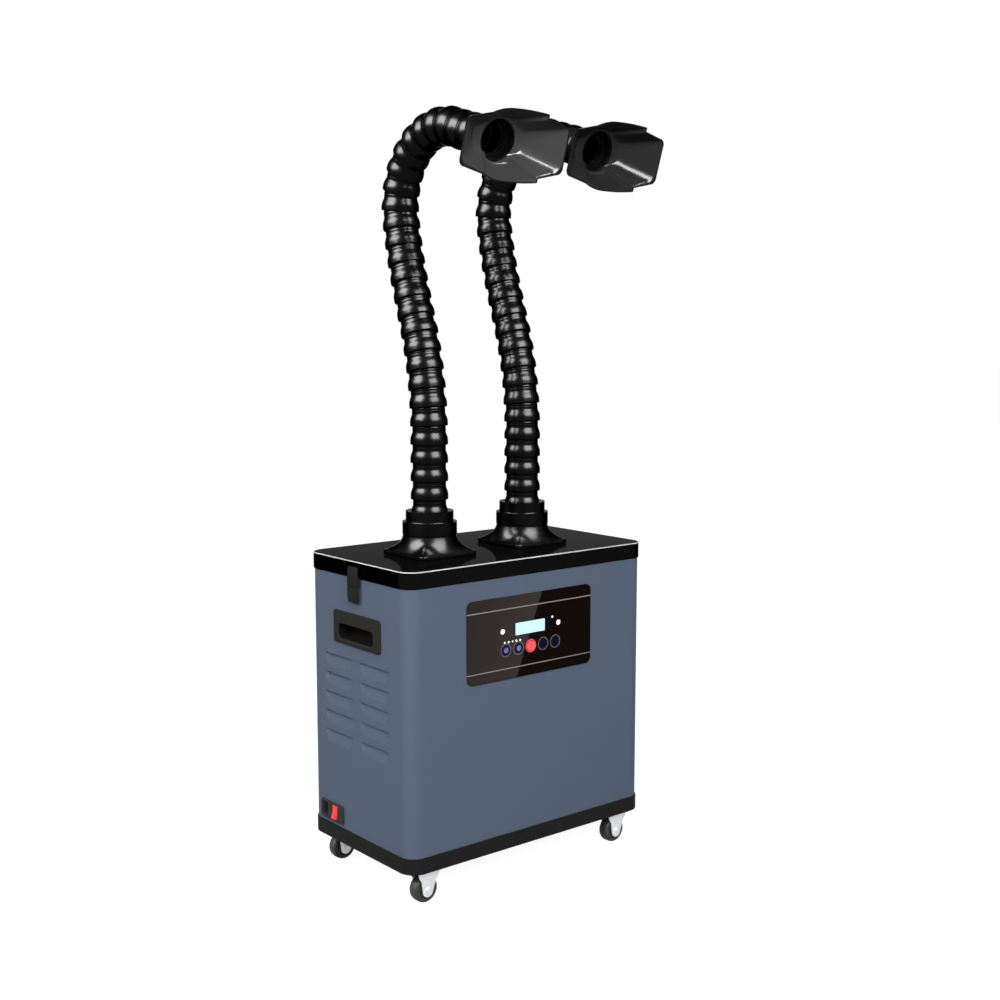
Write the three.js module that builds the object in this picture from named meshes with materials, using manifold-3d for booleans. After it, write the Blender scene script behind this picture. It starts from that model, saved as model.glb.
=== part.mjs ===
// Salon fume extractor: a steel cabinet on casters with two link-chain suction arms and flared hoods.
// Millimetres, +Z up, the control panel faces -Y, the mains inlet is on the -X side.
// The floor is z = 0, and the origin lies below the middle of the whole machine's bounding box.
import * as THREE from 'three';
import * as BufferGeometryUtils from 'three/addons/utils/BufferGeometryUtils.js';
import Module from 'manifold-3d';

const wasm = await Module();
wasm.setup();

// Fits shared by all pieces
const fit = 0.3;
const overrun = 1;
const runningGap = 0.8;
const quarterTurn = Math.PI / 2;

// Cabinet
const lidWidth = 430;
const lidDepth = 246;
const lidHeight = 23.6;
const lidPlate = 3;
const lidWall = 2.4;
const cornerRadius = 24;
const cornerSteps = 5;
const smallCornerSteps = 2;
const midCornerSteps = 3;
const bodyInset = 1.7;
const bodyHeight = 362;
const sheet = 1.5;
const trayHeight = 21.6;
const trayWall = 3;
const trayFloor = 3;
const lipHeight = 9;
const lipWall = 2;

// Casters
const wheelRadius = 19;
const wheelWidth = 16;
const wheelBore = 3.2;
const axleRadius = 2.9;
const axleProud = 1.2;
const pinSegments = 8;
const kingpinSegments = 12;
const forkGap = 1.4;
const forkSheet = 2;
const forkHalf = 17;
const forkTip = 10;
const forkShoulder = 8;
const tipSteps = 4;
const casterTrail = 2.5;
const casterHeight = 48;
const casterPlateSide = 38;
const casterPlateSheet = 2.2;
const casterPlateCorner = 5;
const kingpinRadius = 5;
const kingpinHeight = 2;
const casterEndInset = 39.7;
const casterSideInset = 23;
const wheelSegments = 20;

// Flanges and suction arms
const armX = [-100.5, 67.5];
const armY = -15;
const flangeSide = 95.4;
const flangePlate = 6;
const flangeCorner = 5;
const bellHeight = 20.8;
const bellInset = 2.5;
const bellSteps = 4;
const lowerRingRadius = 37.5;
const lowerRingHeight = 19.3;
const upperRingRadius = 33.2;
const upperRingHeight = 15.5;
const flangeSegments = 24;
const linkPitch = 25.26;
const lipRadius = 26.2;
const shoulderRadius = 25.2;
const neckRadius = 23.3;
const boreRadius = 19.5;
const shoulderShare = 0.62;
const boreStride = 2;
const linkSides = 12;
const firstLinkHeight = 472;
const socketLift = 9.6;

// Moving joints of the arm: a ball on the lower run turns in the socket of the next run
const ballRadius = 22.9;
const socketRadius = 23.9;
const throatNeck = 22.2;
const throatShare = 0.8;
const ballRise = 8.6;

// The arm's links from the collar to the hood: how many, and how far each one turns back, in degrees
const bends = [
  { links: 5, turn: 0 },
  { links: 6, turn: 3.05 },
  { links: 2, turn: 0 },
  { links: 4, turn: -2.3 },
  { links: 8, turn: -14.46 },
  { links: 2, turn: 0.9 },
];
const runs = [
  { name: 'lower', links: 5 },
  { name: 'middle', links: 7 },
  { name: 'upper', links: 4 },
  { name: 'loop', links: 11 },
];

// How far each arm is turned outwards in its collar, in degrees
const armTurns = [-0.9, 0.5];

// Hoods
const hoodTilt = 17.2;
const mouthWidth = 166;
const mouthHeight = 62;
const mouthRidge = 5.5;
const mouthCorner = 9;
const hoodDepth = 40;
const hoodBackWidth = 80;
const hoodBackHeight = 35;
const hoodBackCorner = 8;
const hoodWall = 2;
const lobeWidth = 90;
const lobeRise = 12;
const lobeCrown = 2.5;
const lobeRamp = 7;
const rampShare = 0.3;
const throatRadius = 26.6;
const throatBore = 24.2;
const throatLip = 2;
const throatStep = 10;
const throatTail = 28;
const throatSegments = 18;
const hoodSteps = 2;
const lobeSteps = 6;
const lobeSpread = 0.35;

// Control panel on the front
const panelX = -7.3;
const panelZ = 299.5;
const panelWidth = 224.4;
const panelHeight = 115;
const panelCorner = 6;
const panelSheet = 2;
const panelWindow = 12;
const displayX = -9.3;
const displayZ = 309.7;
const displayWidth = 52.8;
const displayHeight = 16.8;
const displayThickness = 2;
const buttonX = -8.1;
const buttonZ = 282.9;
const buttonPitch = 22.4;
const buttonRadius = 7.6;
const buttonProud = 1.2;
const buttonTravel = 0.8;
const buttonFlange = 1.1;
const buttonSegments = 12;
const buttonNames = ['down', 'mode', 'power', 'timer', 'up'];
const boardWidth = 176;
const boardHeight = 50;
const boardSheet = 1.6;
const boardGap = 6;
const postRadius = 3;
const postInset = 6;
const postSegments = 6;

// Flush pull handles, one on each side
const handleZ = 311.3;
const handleY = -1.7;
const handleWidth = 112.2;
const handleHeight = 45.7;
const handleCorner = 4;
const handlePlate = 2.5;
const pocketZ = 305.8;
const pocketWidth = 84;
const pocketHeight = 21;
const pocketCorner = 7;
const pocketDepth = 18;
const pocketWall = 2;

// Louvres: pressed in under a straight top edge, ramping back out to the wall
const louvreRows = 5;
const louvreTop = 268.5;
const louvrePitch = 27.5;
const louvreWidth = 69;
const louvreHeight = 17.5;
const louvreDepth = 6;
const louvreCentres = [47, -41];

// Mains inlet with its rocker switch
const inletY = 65.8;
const inletZ = 40;
const inletWidth = 56.5;
const inletHeight = 26;
const inletCorner = 2;
const inletBezel = 2.2;
const inletBodyInset = 1.6;
const inletBodyDepth = 26;
const socketY = 84;
const socketWidth = 14;
const socketHeight = 20;
const socketDepth = 18;
const pinLength = 13;
const pinWidth = 4;
const pinThickness = 1.6;
const pinSpread = 10;
const rockerY = 59;
const rockerWidth = 12;
const rockerHeight = 19;
const rockerCrown = 1.2;
const rockerDip = 0.3;
const rockerFlank = 3;
const rockerKeel = 8;
const rockerWell = 10.4;
const rockerTilt = 9;
const rockerFlankShare = 0.48;
const rockerKeelShare = 0.26;

// Over-centre latches, one on each side
const latchWidth = 21.4;
const latchTop = 400;
const latchSplit = 372.5;
const latchBottom = 350.5;
const latchProud = 8;
const latchPlate = 2;
const latchPlateWidth = 14;
const strikeRise = 2.6;
const strikeHeight = 5;
const hookNose = 4;
const hookShoulder = 1.4;
const hookTipDepth = 1.4;
const hookHeel = 9;
const hookShank = 15;
const leverToe = 4;

// Filters, gasket and shelf
const filterEndGap = 23.6;
const filterFrontGap = 24;
const preFilterHeight = 15;
const hepaHeight = 60;
const carbonHeight = 35;
const filterCorner = 3;
const shelfSheet = 2;
const shelfRim = 12;
const shelfWall = 3;
const gasketWall = 12;
const gasketHeight = 6.7;
const inletRingRadius = 62;
const inletRingThroat = 48;
const inletRingDrop = 12;
const inletRingWall = 2;

// Fan
const fanRadius = 88;
const fanHeight = 52;
const hubRadius = 34;
const fanPlate = 2.5;
const fanEye = 51;
const bladeCount = 7;
const bladeThickness = 2.4;
const bladeSweep = 38;
const motorRadius = 30;
const motorHeight = 34;
const shaftRadius = 5;
const fanSegments = 20;
const strapWidth = 40;
const strapSheet = 3;
const strapReach = 108;
const strapFoot = 14;

// Power supply on the tray
const supplyWidth = 120;
const supplyDepth = 70;
const supplyHeight = 34;
const supplyGap = 17.6;
const supplyY = 20;

// Places worked out from the sizes above
const trayBottom = casterHeight;
const trayTop = trayBottom + trayHeight;
const bodyBottom = trayTop + fit;
const bodyTop = trayTop + bodyHeight;
const lidBottom = bodyTop + fit;
const lidTop = bodyTop + lidHeight;
const sideX = lidWidth / 2 - bodyInset;
const frontY = lidDepth / 2 - bodyInset;
const ceiling = lidTop - lidPlate;
const casterX = lidWidth / 2 - casterEndInset;
const casterY = lidDepth / 2 - casterSideInset;
const filterWidth = (sideX + fit - pocketDepth - pocketWall - filterEndGap) * 2;
const filterDepth = (frontY + fit - boardGap - boardSheet - filterFrontGap) * 2;

const colours = {
  steel: { color: 0x566172, roughness: 0.45, metalness: 0.3 },
  black: { color: 0x161616, roughness: 0.3, metalness: 0 },
  lid: { color: 0x262626, roughness: 0.25, metalness: 0 },
  tray: { color: 0x202020, roughness: 0.5, metalness: 0 },
  smoke: { color: 0x4a4a4c, roughness: 0.25, metalness: 0 },
  smokeDark: { color: 0x2c2c2e, roughness: 0.25, metalness: 0 },
  handle: { color: 0x2f3231, roughness: 0.6, metalness: 0 },
  panel: { color: 0x1d1614, roughness: 0.2, metalness: 0 },
  display: { color: 0xbfe3ec, roughness: 0.2, metalness: 0 },
  blue: { color: 0x23386b, roughness: 0.35, metalness: 0 },
  red: { color: 0xc4161c, roughness: 0.35, metalness: 0 },
  zinc: { color: 0xb8babd, roughness: 0.35, metalness: 0.8 },
  tread: { color: 0x141414, roughness: 0.7, metalness: 0 },
  foam: { color: 0x3c3c3c, roughness: 0.95, metalness: 0 },
  paper: { color: 0xe6e6e0, roughness: 0.9, metalness: 0 },
  board: { color: 0x1c5a34, roughness: 0.6, metalness: 0 },
};

// Solids

function solid(geometry) {
  const bare = geometry.clone();
  bare.deleteAttribute('normal');
  bare.deleteAttribute('uv');
  const merged = BufferGeometryUtils.mergeVertices(bare);
  return new wasm.Manifold(
    new wasm.Mesh({
      numProp: 3,
      vertProperties: new Float32Array(merged.attributes.position.array),
      triVerts: new Uint32Array(merged.index.array),
    }),
  );
}

function geometryOf(manifold) {
  const mesh = manifold.getMesh();
  const geometry = new THREE.BufferGeometry();
  geometry.setAttribute('position', new THREE.BufferAttribute(mesh.vertProperties, mesh.numProp));
  geometry.setIndex(new THREE.BufferAttribute(mesh.triVerts, 1));
  geometry.computeVertexNormals();
  return geometry;
}

function cut(base, ...tools) {
  return geometryOf(tools.reduce((left, tool) => left.subtract(solid(tool)), solid(base)));
}

function join(base, ...others) {
  return geometryOf(others.reduce((whole, other) => whole.add(solid(other)), solid(base)));
}

function box(width, depth, height, x, y, z) {
  return new THREE.BoxGeometry(width, depth, height).translate(x, y, z + height / 2);
}

function rod(radius, length, segments) {
  return new THREE.CylinderGeometry(radius, radius, length, segments).rotateX(quarterTurn);
}

function roundedShape(width, height, radius) {
  const x = width / 2;
  const y = height / 2;
  const shape = new THREE.Shape();
  shape.absarc(x - radius, y - radius, radius, 0, quarterTurn);
  shape.absarc(radius - x, y - radius, radius, quarterTurn, Math.PI);
  shape.absarc(radius - x, radius - y, radius, Math.PI, Math.PI + quarterTurn);
  shape.absarc(x - radius, radius - y, radius, Math.PI + quarterTurn, Math.PI * 2);
  return shape;
}

function slab(width, depth, radius, height, z, steps = cornerSteps) {
  const shape = roundedShape(width, depth, radius);
  const options = { depth: height, bevelEnabled: false, curveSegments: steps };
  return new THREE.ExtrudeGeometry(shape, options).translate(0, 0, z);
}

// A slab stood against a side wall: its width runs along Y and its thickness along -X from x
function sidePlate(width, height, radius, thickness, x, y, z, steps = cornerSteps) {
  const plate = slab(width, height, radius, thickness, 0, steps);
  return plate.rotateX(quarterTurn).rotateZ(-quarterTurn).translate(x, y, z);
}

// A slab stood against the front wall: its thickness runs along -Y from y
function frontPlate(width, height, radius, thickness, x, y, z, steps = cornerSteps) {
  return slab(width, height, radius, thickness, 0, steps).rotateX(quarterTurn).translate(x, y, z);
}

// An outline in X and Z drawn out along Y, centred on y = 0
function profile(points, length) {
  const shape = new THREE.Shape(points.map(([x, z]) => new THREE.Vector2(x, z)));
  const drawn = new THREE.ExtrudeGeometry(shape, { depth: length, bevelEnabled: false });
  return drawn.rotateX(quarterTurn).translate(0, length / 2, 0);
}

function turned(points, segments) {
  const outline = points.map(([radius, z]) => new THREE.Vector2(radius, z));
  return new THREE.LatheGeometry([...outline, outline[0]], segments).rotateX(quarterTurn);
}

// Skins a list of rings of equal length; a closed list of rings makes a ring-shaped solid
function skin(rings, closed) {
  const sides = rings[0].length;
  const positions = rings.flat().flatMap((point) => point.toArray());
  const triangles = [];
  const bands = closed ? rings.length : rings.length - 1;
  for (let band = 0; band < bands; band += 1) {
    const low = band * sides;
    const high = ((band + 1) % rings.length) * sides;
    for (let side = 0; side < sides; side += 1) {
      const next = (side + 1) % sides;
      triangles.push(low + side, low + next, high + next, low + side, high + next, high + side);
    }
  }
  if (!closed) {
    const last = (rings.length - 1) * sides;
    for (let side = 1; side < sides - 1; side += 1) {
      triangles.push(0, side + 1, side, last, last + side, last + side + 1);
    }
  }
  const geometry = new THREE.BufferGeometry();
  geometry.setAttribute('position', new THREE.Float32BufferAttribute(positions, 3));
  geometry.setIndex(triangles);
  geometry.computeVertexNormals();
  return geometry;
}

function piece(parent, name, geometry, colour) {
  const mesh = new THREE.Mesh(geometry, new THREE.MeshStandardMaterial(colours[colour]));
  mesh.name = name;
  parent.add(mesh);
  return mesh;
}

// Cabinet

function baseTray() {
  const outer = slab(lidWidth, lidDepth, cornerRadius, trayHeight, trayBottom);
  const inner = slab(
    lidWidth - trayWall * 2,
    lidDepth - trayWall * 2,
    cornerRadius - trayWall,
    trayHeight,
    trayBottom + trayFloor,
  );
  return cut(outer, inner);
}

function bodyWall(inset, z, height) {
  const radius = cornerRadius - inset;
  return slab(lidWidth - inset * 2, lidDepth - inset * 2, radius, height, z);
}

// The pressed-in wedge behind one louvre, and the hollow that opens upwards behind the wall
function louvreWedge(side, y, top) {
  const bottom = top - louvreHeight;
  return profile(
    [
      [side * (sideX - sheet / 2), bottom - sheet],
      [side * (sideX - sheet - louvreDepth), top],
      [side * (sideX - sheet / 2), top],
    ],
    louvreWidth + sheet * 2,
  ).translate(0, y, 0);
}

function louvreHollow(side, y, top) {
  const bottom = top - louvreHeight;
  return profile(
    [
      [side * (sideX + overrun), bottom],
      [side * sideX, bottom],
      [side * (sideX - louvreDepth), top],
      [side * (sideX - louvreDepth), top + overrun],
      [side * (sideX - sheet), top + overrun],
      [side * (sideX - sheet), top],
      [side * (sideX + overrun), top],
    ],
    louvreWidth,
  ).translate(0, y, 0);
}

function cabinetShell() {
  let shell = solid(bodyWall(bodyInset, bodyBottom, bodyTop - bodyBottom));
  const inside = bodyWall(bodyInset + sheet, bodyBottom - overrun, bodyTop - bodyBottom + overrun * 2);
  shell = shell.subtract(solid(inside));
  const windowWidth = panelWidth - panelWindow * 2;
  const windowHeight = panelHeight - panelWindow * 2;
  const window = frontPlate(
    windowWidth,
    windowHeight,
    panelCorner,
    sheet + overrun * 2,
    panelX,
    overrun + sheet - frontY,
    panelZ + trayBottom,
  );
  shell = shell.subtract(solid(window));
  for (const side of [-1, 1]) {
    const reach = side < 0 ? sheet + overrun - sideX : sideX + overrun;
    const pocket = sidePlate(
      pocketWidth + (pocketWall + fit) * 2,
      pocketHeight + (pocketWall + fit) * 2,
      pocketCorner,
      sheet + overrun * 2,
      reach,
      0,
      pocketZ + trayBottom,
      midCornerSteps,
    );
    shell = shell.subtract(solid(pocket));
    for (const y of louvreCentres) {
      for (let row = 0; row < louvreRows; row += 1) {
        const top = trayBottom + louvreTop - row * louvrePitch;
        shell = shell.add(solid(louvreWedge(side, y, top))).subtract(solid(louvreHollow(side, y, top)));
      }
    }
  }
  const inletHole = sidePlate(
    inletWidth - (inletBodyInset - fit) * 2,
    inletHeight - (inletBodyInset - fit) * 2,
    inletCorner,
    sheet + overrun * 2,
    sheet + overrun - sideX,
    inletY,
    inletZ + trayBottom,
    smallCornerSteps,
  );
  return geometryOf(shell.subtract(solid(inletHole)));
}

function lid() {
  const outer = slab(lidWidth, lidDepth, cornerRadius, lidTop - lidBottom, lidBottom);
  const pocket = bodyWall(lidWall, lidBottom - overrun, ceiling - lidBottom + overrun);
  const lipInset = bodyInset + sheet + fit;
  const lipOuter = bodyWall(lipInset, lidBottom - lipHeight, ceiling - lidBottom + lipHeight + overrun);
  const lipInner = bodyWall(lipInset + lipWall, lidBottom - lipHeight - overrun, lidHeight + lipHeight);
  let whole = solid(outer).subtract(solid(pocket));
  whole = whole.add(solid(lipOuter).subtract(solid(lipInner)));
  for (const x of armX) {
    const port = rod(boreRadius, lidHeight, flangeSegments).translate(x, armY, lidTop);
    whole = whole.subtract(solid(port));
  }
  for (const side of [-1, 1]) {
    const strike = box(
      strikeRise + lidWall,
      latchPlateWidth,
      strikeHeight,
      side * (lidWidth / 2 + (strikeRise - lidWall) / 2),
      0,
      lidBottom + strikeHeight,
    );
    whole = whole.add(solid(strike));
  }
  return geometryOf(whole);
}

function flangeBell(plateTop) {
  const rings = [];
  const halfPlate = flangeSide / 2 - bellInset;
  for (let step = -1; step <= bellSteps; step += 1) {
    const angle = (Math.max(step, 0) / bellSteps) * quarterTurn;
    const squareness = 1 - Math.sin(angle);
    const z = step < 0 ? plateTop - flangePlate / 2 : plateTop + bellHeight * (1 - Math.cos(angle));
    const points = [];
    for (let side = 0; side < flangeSegments; side += 1) {
      const turn = (side * Math.PI * 2) / flangeSegments;
      const square = halfPlate / Math.max(Math.abs(Math.cos(turn)), Math.abs(Math.sin(turn)));
      const radius = lowerRingRadius - lipWall / 2 + (square - lowerRingRadius) * squareness;
      points.push(new THREE.Vector3(radius * Math.cos(turn), radius * Math.sin(turn), z));
    }
    rings.push(points);
  }
  return skin(rings, false);
}

function flange() {
  const bottom = lidTop + fit;
  const plateTop = bottom + flangePlate;
  const bellTop = plateTop + bellHeight;
  const lowerTop = bellTop + lowerRingHeight;
  const upperTop = lowerTop + upperRingHeight;
  const plate = slab(flangeSide, flangeSide, flangeCorner, flangePlate, bottom, smallCornerSteps);
  const rings = turned(
    [
      [0, bellTop - lipWall],
      [lowerRingRadius, bellTop - lipWall],
      [lowerRingRadius, lowerTop],
      [upperRingRadius, lowerTop],
      [upperRingRadius, upperTop],
      [0, upperTop],
    ],
    flangeSegments,
  );
  const bore = rod(boreRadius, lidTop, flangeSegments).translate(0, 0, lidTop);
  const seat = ballSeat(trayBottom + firstLinkHeight - linkPitch / 2);
  return cut(join(plate, flangeBell(plateTop), rings), bore, seat);
}

// The round well in the collar that the first link turns in, open at the top
function ballSeat(z) {
  const radius = shoulderRadius + fit * 2;
  return rod(radius, lidTop, flangeSegments).translate(0, 0, z - fit + lidTop / 2);
}

// Arms, modelled in the plane through their collar's axis: each joint is a point in Y and Z

function armLinks() {
  const links = [];
  const joint = new THREE.Vector2(0, trayBottom + firstLinkHeight - linkPitch / 2);
  let heading = 0;
  for (const { links: count, turn } of bends) {
    for (let link = 0; link < count; link += 1) {
      const before = heading;
      heading += links.length === 0 ? 0 : THREE.MathUtils.degToRad(turn);
      const step = new THREE.Vector2(Math.sin(heading), Math.cos(heading)).multiplyScalar(linkPitch);
      links.push({ start: joint.clone(), heading, tilt: (before + heading) / 2 });
      joint.add(step);
    }
  }
  links.push({ start: joint.clone(), heading, tilt: heading });
  return links;
}

const armPath = armLinks();

// A ring of points round the arm's centre line: place is (y, z), and tilt leans its axis back
function ring(place, tilt, radius, offset = 0) {
  const points = [];
  for (let side = 0; side < linkSides; side += 1) {
    const angle = (side * Math.PI * 2) / linkSides;
    const across = radius * Math.sin(angle);
    points.push(
      new THREE.Vector3(
        radius * Math.cos(angle),
        place.x + offset * Math.sin(tilt) + across * Math.cos(tilt),
        place.y + offset * Math.cos(tilt) - across * Math.sin(tilt),
      ),
    );
  }
  return points;
}

function onBall(radius, rise) {
  return Math.sqrt(radius * radius - rise * rise);
}

// Rings up the outside of links first..last, then down their bore
function armRun(first, last, startsInCollar) {
  const outside = [];
  const inside = [];
  for (let index = first; index <= last; index += 1) {
    const { start, heading, tilt } = armPath[index];
    const end = armPath[index + 1];
    const isLast = index === last;
    const foot = startsInCollar && index === first;
    outside.push(ring(start, tilt, foot ? shoulderRadius : lipRadius));
    outside.push(ring(start, heading, shoulderRadius, linkPitch * shoulderShare));
    if (isLast) {
      outside.push(ring(start, heading, throatNeck, linkPitch * throatShare));
      outside.push(ring(end.start, end.tilt, ballRadius));
      outside.push(ring(end.start, end.tilt, onBall(ballRadius, ballRise / 2), ballRise / 2));
      outside.push(ring(end.start, end.tilt, onBall(ballRadius, ballRise), ballRise));
      inside.push(ring(end.start, end.tilt, boreRadius, ballRise));
    } else {
      outside.push(ring(end.start, end.tilt, neckRadius));
      if ((last - index) % boreStride === 0) inside.push(ring(end.start, end.tilt, boreRadius));
    }
  }
  const { start, tilt } = armPath[first];
  if (startsInCollar) {
    inside.unshift(ring(start, tilt, boreRadius));
  } else {
    const rim = onBall(socketRadius, boreRadius);
    inside.unshift(ring(start, tilt, boreRadius, rim));
    inside.unshift(ring(start, tilt, onBall(socketRadius, socketLift), socketLift));
    inside.unshift(ring(start, tilt, onBall(socketRadius, socketLift / 2), socketLift / 2));
    inside.unshift(ring(start, tilt, socketRadius));
  }
  return skin([...outside, ...inside.reverse()], true);
}

// Hoods, modelled with the throat axis along +Z and the mouth at z = 0 looking down -Z

// The wings' outline at height z: rounded corners, with ridges above and below where the lobes begin
function wingRing(width, height, corner, ridge, z) {
  const right = width / 2 - corner;
  const top = height / 2 - corner;
  const corners = [[right, top], [-right, top], [-right, -top], [right, -top]];
  const points = [];
  corners.forEach(([x, y], quarter) => {
    for (let step = 0; step <= hoodSteps; step += 1) {
      const angle = (quarter + step / hoodSteps) * quarterTurn;
      points.push(new THREE.Vector3(x + corner * Math.cos(angle), y + corner * Math.sin(angle), z));
    }
    if (quarter % 2 === 0) {
      const edge = Math.sign(y) * (height / 2 + ridge);
      const half = Math.sign(x) * Math.min(lobeWidth / 2, right);
      points.push(new THREE.Vector3(half, edge, z), new THREE.Vector3(-half, edge, z));
    }
  });
  return points;
}

function wings(grow, front, back) {
  const inset = grow * 2;
  return skin(
    [
      wingRing(mouthWidth - inset, mouthHeight - inset, mouthCorner - grow, mouthRidge, front),
      wingRing(hoodBackWidth - inset, hoodBackHeight - inset, hoodBackCorner - grow, 0, back),
    ],
    false,
  );
}

// How far a lobe's rim stands above or below the throat's axis: it ramps down at its -X end
function lobeHeight(across) {
  const ramp = Math.max(0, -across - rampShare) / (1 - rampShare);
  return mouthHeight / 2 + lobeRise + lobeCrown * (1 - across ** 2) - lobeRamp * ramp ** 2;
}

// The middle duct: round at the throat, with a lobe above and below the wings at the mouth
function lobeRing(grow, z, atMouth) {
  const half = lobeWidth / 2 - grow;
  const round = throatRadius + hoodWall - grow;
  const points = [];
  for (const side of [1, -1]) {
    for (let step = 0; step <= lobeSteps; step += 1) {
      const share = step / lobeSteps;
      const across = side * Math.cos(Math.PI * share);
      const angle = lobeSpread + (Math.PI - lobeSpread * 2) * share;
      const mouth = [half * across, side * (lobeHeight(across) - grow)];
      const throat = [side * round * Math.cos(angle), side * round * Math.sin(angle)];
      const [x, y] = atMouth ? mouth : throat;
      points.push(new THREE.Vector3(x, y, z));
    }
  }
  return points;
}

function lobe(grow, front, back) {
  return skin([lobeRing(grow, front, true), lobeRing(grow, back, false)], false);
}

function hood() {
  const outer = solid(wings(0, 0, hoodDepth)).add(solid(lobe(0, 0, hoodDepth)));
  const inner = solid(wings(hoodWall, -overrun, hoodDepth - hoodWall))
    .add(solid(lobe(hoodWall, -overrun, hoodDepth - hoodWall)));
  const throat = rod(throatRadius + fit, hoodDepth, flangeSegments).translate(0, 0, hoodDepth);
  return geometryOf(outer.subtract(inner).subtract(solid(throat)));
}

// The ring in the hood's throat, with the socket for the arm's last ball at its back
function throatRing() {
  const front = hoodDepth - throatLip;
  const middle = hoodDepth + throatStep;
  const back = hoodDepth + throatTail;
  const collar = hoodDepth + fit;
  return turned(
    [
      [throatBore, front],
      [throatRadius, front],
      [throatRadius, collar],
      [throatRadius + hoodWall, collar],
      [throatRadius + hoodWall, collar + hoodWall],
      [lipRadius, collar + hoodWall],
      [lipRadius, back],
      [socketRadius, back],
      [onBall(socketRadius, socketLift / 2), back - socketLift / 2],
      [onBall(socketRadius, socketLift), back - socketLift],
      [boreRadius, back - onBall(socketRadius, boreRadius)],
      [boreRadius, middle],
      [throatBore, middle],
    ],
    throatSegments,
  );
}

// Turns a piece of the hood from its own frame to its place at the end of an arm
function atHood(geometry) {
  const end = armPath[armPath.length - 1].start;
  const lean = THREE.MathUtils.degToRad(hoodTilt);
  const reach = hoodDepth + throatTail;
  const aimed = geometry.rotateX(lean - quarterTurn);
  return aimed.translate(0, end.x - Math.cos(lean) * reach, end.y - Math.sin(lean) * reach);
}

// Control panel: each piece is placed by the y of its back face

const panelBack = -frontY - fit;

function fascia() {
  let plate = solid(
    frontPlate(panelWidth, panelHeight, panelCorner, panelSheet, panelX, panelBack, panelZ + trayBottom),
  );
  const through = panelSheet + overrun * 2;
  const window = box(
    displayWidth + fit * 2,
    through,
    displayHeight + fit * 2,
    displayX,
    panelBack - panelSheet / 2,
    displayZ + trayBottom - displayHeight / 2 - fit,
  );
  plate = plate.subtract(solid(window));
  for (let index = 0; index < buttonNames.length; index += 1) {
    const radius = buttonRadius + fit;
    const hole = new THREE.CylinderGeometry(radius, radius, through, buttonSegments)
      .translate(buttonPlace(index), panelBack - panelSheet / 2, buttonZ + trayBottom);
    plate = plate.subtract(solid(hole));
  }
  return geometryOf(plate);
}

function buttonPlace(index) {
  return buttonX + (index - (buttonNames.length - 1) / 2) * buttonPitch;
}

function display() {
  const z = displayZ + trayBottom - displayHeight / 2;
  return box(displayWidth, displayThickness, displayHeight, displayX, panelBack - displayThickness / 2, z);
}

// A push button: its rim behind the panel keeps it in
function button(index) {
  const cap = panelSheet + buttonProud + fit;
  const rim = buttonRadius + buttonFlange;
  return join(
    new THREE.CylinderGeometry(buttonRadius, buttonRadius, cap, buttonSegments)
      .translate(0, panelBack + fit - cap / 2, 0),
    new THREE.CylinderGeometry(rim, rim, buttonFlange, buttonSegments)
      .translate(0, panelBack + fit + buttonFlange / 2, 0),
  ).translate(buttonPlace(index), 0, buttonZ + trayBottom);
}

// The board stands on four posts behind the panel, with a switch behind each button
function controlBoard() {
  const front = panelBack + boardGap;
  const z = panelZ + trayBottom;
  const postLength = boardGap - fit + boardSheet / 2;
  const postX = boardWidth / 2 - postInset;
  const postZ = boardHeight / 2 - postInset;
  const sheetY = front + boardSheet / 2;
  let board = solid(box(boardWidth, boardSheet, boardHeight, panelX, sheetY, z - boardHeight / 2));
  for (const [x, height] of [[-postX, -postZ], [postX, -postZ], [-postX, postZ], [postX, postZ]]) {
    const post = new THREE.CylinderGeometry(postRadius, postRadius, postLength, postSegments);
    board = board.add(solid(post.translate(panelX + x, panelBack + fit + postLength / 2, z + height)));
  }
  const rimBack = panelBack + fit + buttonFlange;
  const switchLength = sheetY - (rimBack + buttonTravel + fit);
  for (let index = 0; index < buttonNames.length; index += 1) {
    const tip = new THREE.CylinderGeometry(postRadius, postRadius, switchLength, postSegments);
    tip.translate(buttonPlace(index), sheetY - switchLength / 2, buttonZ + trayBottom);
    board = board.add(solid(tip));
  }
  return geometryOf(board);
}

// Pieces of the side walls are made on the -X side and turned half round for the +X side
function onSide(geometry, side) {
  return side < 0 ? geometry : geometry.clone().rotateZ(Math.PI);
}

const wallX = -sideX - fit;

function handle() {
  const z = handleZ + trayBottom;
  const middle = pocketZ + trayBottom;
  const steps = midCornerSteps;
  const plate = sidePlate(handleWidth, handleHeight, handleCorner, handlePlate, wallX, handleY, z, steps);
  const depth = pocketDepth + pocketWall + handlePlate;
  const dish = sidePlate(
    pocketWidth + pocketWall * 2,
    pocketHeight + pocketWall * 2,
    pocketCorner,
    depth,
    wallX + depth - handlePlate,
    0,
    middle,
    steps,
  );
  const reach = pocketDepth + handlePlate + overrun;
  const hollow = sidePlate(
    pocketWidth, pocketHeight, pocketCorner, reach, wallX + pocketDepth, 0, middle, steps,
  );
  return cut(join(plate, dish), hollow);
}

// Latch: a plate on the cabinet carries the lever, and the hook stands on the lever before the lid's strike

function latchBase() {
  const height = latchSplit - latchBottom - fit;
  return box(latchPlate, latchPlateWidth, height, wallX - latchPlate / 2, 0, latchBottom + trayBottom);
}

function latchLever() {
  const inner = wallX - latchPlate - fit;
  const outer = -sideX - latchProud;
  const bottom = latchBottom + trayBottom;
  const top = latchSplit + trayBottom - fit;
  return profile(
    [
      [inner, bottom],
      [inner, top],
      [outer, top],
      [outer, bottom + leverToe],
      [(inner + outer) / 2, bottom],
    ],
    latchWidth,
  );
}

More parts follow.
